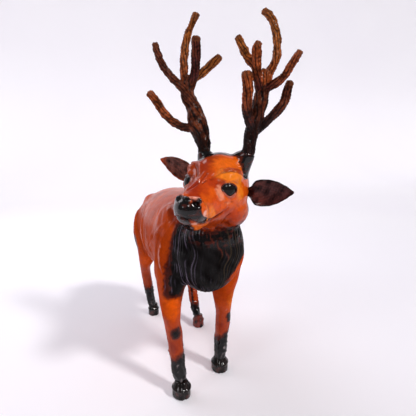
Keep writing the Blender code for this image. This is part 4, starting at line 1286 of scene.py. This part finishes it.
def build_antler(name):
    """One branching antler of leather strips wound round each branch."""
    bm = bmesh.new()
    lines = antler_lines(name)
    for i, line in enumerate(lines):
        rows = np.column_stack([line, line[:, 3]])
        side = (1, 0, 0) if i == 0 else (0, 1, 0)
        tube(bm, rows, side, sides=20, on_head=True, dome=0.0 if i == 0 else 0.5)
    mesh = fused(mesh_from(bm, name), name + "_skin", ANTLER_GRAIN)
    set_points(mesh, neighbour_mean(mesh, get_points(mesh), ANTLER_SMOOTHING))
    points = get_points(mesh)
    in_head = to_head(points)
    branch, share, length, angle = nearest_branch(in_head, lines)
    drift = 0.7 * waves(points, 22.0, 31) + 0.25 * waves(points, 6.0, 32)
    phase = angle * STRIPS / 2 + length * 2 * math.pi / STRIP_TURN + drift + branch
    groove = 1 - np.abs(np.sin(phase)) ** 0.6
    thread = np.sin(angle * STRIPS * 2 + length / 5.0 + 2.0 * drift)
    rise = STRIP_DEPTH * (0.35 - groove) + THREAD_DEPTH * thread
    rise += 0.2 * waves(points, 3.0, 33) + 0.35 * waves(points, 11.0, 37)
    points = points + vectors(mesh.vertex_normals, "vector") * rise[:, None]
    colour = np.zeros((len(points), 3))
    for n, (root, tip) in enumerate(ANTLER_COLOURS[name]):
        own = branch == n
        roots = np.tile(np.array(root), (int(own.sum()), 1))
        colour[own] = mixed(roots, tip, ease(0.1, 0.7, share[own]))
    tone = waves(points, 13.0, 34)
    colour *= np.maximum(1.15 + 0.35 * tone + 0.45 * waves(points, 5.0, 35), 0.3)[:, None]
    colour = mixed(colour, BARK_RED, 0.35 * ease(0.4, 1.4, waves(points, 17.0, 36)))
    # Painted shade: the furrows between the strips and the troughs of the threads drawn dark
    colour = mixed(colour, BARK_DARK, 0.95 * ease(0.2, 0.65, groove) + 0.45 * ease(0.3, 1.0, -thread))
    top, bottom, waver = DARK_ROOT[name]
    low = ease(top, bottom, in_head[:, 2] + waver * tone)
    colour = mixed(colour, BARK_DARK, 0.85 * low)
    tips = (share > TIP_START) & (branch > 0)
    colour = mixed(colour, TIP_BROWN, 0.5 * tips)
    set_points(mesh, in_frame(points))
    set_paint(mesh, colour, 0.35 + 0.3 * low + 0.2 * tone)
    return add_object(name + "_skin", mesh)


def ear_axes(name):
    """The ear's root and axes: along the leaf, across it, and the way it opens."""
    root, tip, opening = (np.array(v, float) for v in EARS[name])
    along = (tip - root) / np.linalg.norm(tip - root)
    facing = opening - along * (opening @ along)
    facing /= np.linalg.norm(facing)
    return root, np.array((along, np.cross(facing, along), facing))


def build_ear(name):
    """A rolled stalk that opens into a cupped, veined leaf."""
    long_steps, cross_steps = 90, 44
    stalk_turn, cup_turn = math.radians(STALK_ROLL), math.radians(LEAF_CUP)
    root, axes = ear_axes(name)
    bm = bmesh.new()
    grid = []
    marks = []
    for i in range(long_steps + 1):
        x = -EAR_ROOT_DEPTH + i / long_steps * (EAR_LENGTH + EAR_ROOT_DEPTH)
        leaf = max(0.0, (x - LEAF_START * EAR_LENGTH) / (EAR_LENGTH * (1 - LEAF_START)))
        open_up = min(1.0, leaf / LEAF_OPENS)
        open_up = open_up * open_up * (3 - 2 * open_up)
        blade = EAR_WIDTH * (1 - abs(2 * leaf**LEAF_FULLNESS - 1) ** LEAF_BLUNTNESS) + LEAF_TIP_WIDTH
        arc = EAR_STALK_RADIUS * stalk_turn * (1 - open_up) + blade * 1.1 * open_up
        turn = stalk_turn * (1 - open_up) + cup_turn * open_up * (1 - 0.5 * leaf)
        radius = arc / turn
        row = []
        for j in range(cross_steps + 1):
            across = 2 * j / cross_steps - 1
            angle = across / 2 * turn
            crinkle = CRINKLE_DEPTH * math.sin(9 * across + x / 3.0) * math.exp(-((x / CRINKLE_REACH) ** 2))
            vein = VEIN_DEPTH * abs(math.sin((abs(across) * 9 + leaf * 11) * 1.6)) * open_up
            reach = radius + crinkle - vein
            y = reach * math.sin(angle)
            z = radius - reach * math.cos(angle) - EAR_STALK_RADIUS * (1 - open_up)
            row.append(bm.verts.new(in_frame(from_head(np.array((x, y, z)) @ axes + root))))
            marks.append((x, across, leaf, vein))
        grid.append(row)
    for a, b in zip(grid, grid[1:]):
        for j in range(cross_steps):
            bm.faces.new((a[j], b[j], b[j + 1], a[j + 1]))
    mesh = mesh_from(bm, name + "_leaf")
    x, across, leaf, vein = np.array(marks).T
    points = get_points(mesh) * 1000
    tone = waves(points, 9.0, 41)
    colour = np.tile(np.array(EAR_COLOURS[name]), (len(points), 1))
    colour *= (1 + 0.4 * tone + 0.25 * waves(points, 3.0, 42))[:, None]
    colour = mixed(colour, EAR_RED, 0.6 * ease(0.6, 0.05, leaf) * ease(-0.2, 1.0, tone))
    if name == "ear_right":
        colour = mixed(colour, TAN, 0.75 * ease(0.78, 0.95, leaf + 0.04 * tone))
        colour = mixed(colour, TAN, 0.5 * ease(0.84, 0.97, across))
    colour = mixed(colour, BARK_DARK, 0.7 * ease(0.06, 0.0, vein) * (leaf > 0.15))
    colour = mixed(colour, BARK_DARK, 0.8 * ease(0.90, 0.99, np.abs(across)) * (name == "ear_left"))
    set_paint(mesh, colour, 0.45 + 0.2 * tone)
    ear = add_object(name + "_leaf", mesh)
    wall = ear.modifiers.new("leather", "SOLIDIFY")
    wall.thickness = EAR_THICKNESS / 1000
    wall.offset = 0.0
    return ear


def build_hoof(name, foot, width):
    """A hoof cap with a rolled band, a collar up to the leg, a longer toe and a cleft in front."""
    x, y, turn = foot
    collar = HOOF_HEIGHT - HOOF_BAND_HEIGHT
    rows = []
    for share, wide in HOOF_PROFILE:
        rows.append((min(share, 1.0) * HOOF_BAND_HEIGHT + max(share - 1.0, 0.0) * collar, wide * width / 2))
    rows.append((HOOF_HEIGHT, LEG_END_RADIUS))
    rows = curve_rows(rows, 3)
    sides = 72
    bm = bmesh.new()
    loops = []
    for z, radius in rows:
        flare = min(1.0, (HOOF_HEIGHT - z) / collar)
        loop = []
        for k in range(sides):
            angle = 2 * math.pi * k / sides
            toe = max(0.0, math.cos(angle))
            cleft = CLEFT_DEPTH * math.exp(-((math.sin(angle / 2) / CLEFT_REACH) ** 2)) * flare
            length = radius * (1.0 + TOE_LENGTH * flare * toe) * (1 - cleft)
            turned = math.radians(turn)
            px, py = radius * math.sin(angle) * (1 - cleft), -length * math.cos(angle)
            spot = (
                x + px * math.cos(turned) - py * math.sin(turned),
                y + px * math.sin(turned) + py * math.cos(turned),
                z,
            )
            loop.append(bm.verts.new(in_frame(spot)))
        loops.append(loop)
    join_loops(bm, loops)
    mesh = mesh_from(bm, "hoof_cap_" + name)
    points = get_points(mesh) * 1000 - PLACE
    height = points[:, 2]
    tone = waves(points, 8.0, 51)
    colour = np.tile(np.array(HOOF_BLACK), (len(points), 1)) * (1 + 0.4 * tone)[:, None]
    red = ease(0.0, 1.2, tone) * ease(HOOF_BAND_HEIGHT + 1, HOOF_BAND_HEIGHT - 2, height)
    colour = mixed(colour, HOOF_RED, 0.6 * red)
    if name == "hind_left":
        colour = mixed(colour, WORN_HOOF_RED, 0.75 * ease(-0.6, 0.8, waves(points, 14.0, 52)))
    set_paint(mesh, colour, 0.7 + 0.2 * tone)
    return add_object("hoof_cap_" + name, mesh)


def fill(node, **values):
    """Sets a node's plain input values; an underscore stands for the space in an input's name."""
    for name, value in values.items():
        node.inputs[name.replace("_", " ")].default_value = value
    return node


def add_node(tree, kind, **values):
    return fill(tree.nodes.new("ShaderNode" + kind), **values)


def attribute(tree, name):
    node = add_node(tree, "Attribute")
    node.attribute_name = name
    return node


def new_material(name):
    """A material with its node tree and its main shader."""
    made = bpy.data.materials.new(name)
    made.use_nodes = True
    return made, made.node_tree, made.node_tree.nodes["Principled BSDF"]


def leather(name, grain, bump_height, coat, contrast):
    """Painted leather: its own colours under fine noise, with a pebbled grain and a clear coat."""
    made, tree, shader = new_material(name)
    link = tree.links.new
    place = add_node(tree, "TexCoord").outputs["Object"]
    gloss = attribute(tree, "gloss").outputs["Fac"]

    mottle = add_node(tree, "TexNoise", Scale=grain * 0.35, Detail=5.0, Roughness=0.62)
    tone = add_node(tree, "MapRange", From_Min=0.34, From_Max=0.66, To_Min=1 - contrast, To_Max=1 + contrast)
    shade = add_node(tree, "Mix", Factor=1.0)
    shade.data_type = "RGBA"
    shade.blend_type = "MULTIPLY"
    link(place, mottle.inputs["Vector"])
    link(mottle.outputs["Fac"], tone.inputs["Value"])
    link(attribute(tree, "paint").outputs["Color"], shade.inputs["A"])
    link(tone.outputs["Result"], shade.inputs["B"])
    link(shade.outputs["Result"], shader.inputs["Base Color"])

    rough = add_node(tree, "MapRange", To_Min=0.62, To_Max=0.22)
    link(gloss, rough.inputs["Value"])
    link(rough.outputs["Result"], shader.inputs["Roughness"])
    sheen = add_node(tree, "MapRange", To_Max=coat)
    link(gloss, sheen.inputs["Value"])
    link(sheen.outputs["Result"], shader.inputs["Coat Weight"])
    fill(shader, Coat_Roughness=0.08, Specular_IOR_Level=0.02)

    pebbles = add_node(tree, "TexVoronoi", Scale=grain, Randomness=0.9)
    wrinkles = add_node(tree, "TexNoise", Scale=grain * 0.5, Detail=6.0)
    height = add_node(tree, "Math")
    height.operation = "MULTIPLY_ADD"
    height.inputs[1].default_value = 0.35
    relief = add_node(tree, "Bump", Strength=0.35, Distance=bump_height)
    link(place, pebbles.inputs["Vector"])
    link(place, wrinkles.inputs["Vector"])
    link(pebbles.outputs["Distance"], height.inputs[0])
    link(wrinkles.outputs["Fac"], height.inputs[2])
    link(height.outputs["Value"], relief.inputs["Height"])
    link(relief.outputs["Normal"], shader.inputs["Normal"])
    return made


def clouded(name, scale, detail, colours, **values):
    """A smooth surface in two near colours, mixed by soft noise."""
    made, tree, shader = new_material(name)
    link = tree.links.new
    cloud = add_node(tree, "TexNoise", Scale=scale, Detail=detail)
    ramp = add_node(tree, "ValToRGB")
    for stop, colour in zip(ramp.color_ramp.elements, colours):
        stop.color = (*colour, 1.0)
    link(add_node(tree, "TexCoord").outputs["Object"], cloud.inputs["Vector"])
    link(cloud.outputs["Fac"], ramp.inputs["Fac"])
    link(ramp.outputs["Color"], shader.inputs["Base Color"])
    fill(shader, **values)
    return made


def finish_piece(piece, material, slot, *nodes):
    piece.data.materials.clear()
    piece.data.materials.append(material)
    piece.data.shade_smooth()
    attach(piece, "root")
    if nodes:
        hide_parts(*nodes)


def build_stage():
    bm = bmesh.new()
    width, front, back, top, bend = 6.0, -6.0, 2.4, 3.6, 1.0
    profile = [(front, 0.0), (back - bend, 0.0)]
    for i in range(1, 17):
        angle = math.pi / 2 * i / 16
        profile.append((back - bend + bend * math.sin(angle), bend - bend * math.cos(angle)))
    profile.append((back, top))
    rows = [[bm.verts.new((x, y, z)) for y, z in profile] for x in (-width, width)]
    for i in range(len(profile) - 1):
        bm.faces.new((rows[0][i], rows[1][i], rows[1][i + 1], rows[0][i + 1]))
    floor = add_object("stage_floor", mesh_from(bm, "stage_floor"))
    pale = clouded("pale floor", 1.2, 2.0, FLOOR_COLOURS, Roughness=0.8, Specular_IOR_Level=0.2)
    floor.data.materials.append(pale)
    floor.data.shade_smooth()


def aim(thing, place, look):
    """Puts a light or the camera in its place and turns it to look along a direction."""
    thing.location = place
    thing.rotation_mode = "QUATERNION"
    thing.rotation_quaternion = Vector(look).to_track_quat("-Z", "Y")


def add_light(name, kind, place, look, power, colour):
    data = bpy.data.lights.new(name, kind)
    data.energy = power
    data.color = colour
    aim(add_object(name, data), place, look)
    return data


def build_lights():
    """Suns, which light the whole stage evenly, and one weak wide light behind the figure."""
    for name, place, spread, power, colour in SUNS:
        sun = add_light(name, "SUN", place, -Vector(place), power, colour)
        sun.angle = math.radians(spread)
    name, place, target, size, power, colour = TOP_LIGHT
    panel = add_light(name, "AREA", place, Vector(target) - Vector(place), power, colour)
    panel.shape = "RECTANGLE"
    panel.size, panel.size_y = size


def build_camera():
    data = bpy.data.cameras.new("camera")
    data.sensor_width = SENSOR
    data.lens = FOCAL_PIXELS / PICTURE_SIDE * SENSOR
    data.clip_start, data.clip_end = 0.01, 50.0
    camera = add_object("camera", data)
    yaw, pitch = math.radians(CAMERA_YAW), math.radians(CAMERA_PITCH)
    look = (math.sin(yaw) * math.cos(pitch), math.cos(yaw) * math.cos(pitch), -math.sin(pitch))
    aim(camera, (np.array(CAMERA_PLACE) + PLACE) / 1000, look)
    bpy.context.scene.camera = camera


def build_world():
    """Pale to look at, and dimmer as a light, so that the dark leather stays deep."""
    world = bpy.data.worlds.new("studio")
    world.use_nodes = True
    tree = world.node_tree
    background = fill(tree.nodes["Background"], Color=(0.94, 0.92, 0.98, 1.0))
    strength = add_node(tree, "MapRange", To_Min=WORLD_AS_LIGHT, To_Max=WORLD_SEEN)
    tree.links.new(add_node(tree, "LightPath").outputs["Is Camera Ray"], strength.inputs["Value"])
    tree.links.new(strength.outputs["Result"], background.inputs["Strength"])
    bpy.context.scene.world = world


def main():
    tan = leather("tan leather", 900.0, 0.00015, 1.0, 0.12)
    bark = leather("wound leather", 1400.0, 0.0002, 0.35, 0.30)
    dark = leather("ear leather", 1200.0, 0.0002, 0.6, 0.15)
    black = leather("hoof leather", 900.0, 0.0002, 0.9, 0.25)
    shine = {"Roughness": 0.08, "Specular_IOR_Level": 0.15, "Coat_Weight": 0.15}
    glass = clouded("eye glass", 160.0, 3.0, GLASS_COLOURS, **shine)
    finish_piece(build_body(), tan, "body_leather", "body")
    for name in PEDICLES:
        finish_piece(build_antler(name), bark, "antler_leather", name)
    for name in EARS:
        finish_piece(build_ear(name), dark, "ear_leather", name)
    for name, side in (("eye_right", 1), ("eye_left", -1)):
        finish_piece(build_eye(side, name + "_bead"), glass, "eye_glass", name)
        finish_piece(build_lid(side, name + "_lid"), tan, "body_leather")
    for name, foot in FEET.items():
        width = FRONT_HOOF_WIDTH if name.startswith("front") else HIND_HOOF_WIDTH
        finish_piece(build_hoof(name, foot, width), black, "hoof_leather", "hoof_" + name)
    build_stage()
    build_world()
    bpy.context.scene.view_settings.view_transform = "Standard"
    build_lights()
    build_camera()


main()
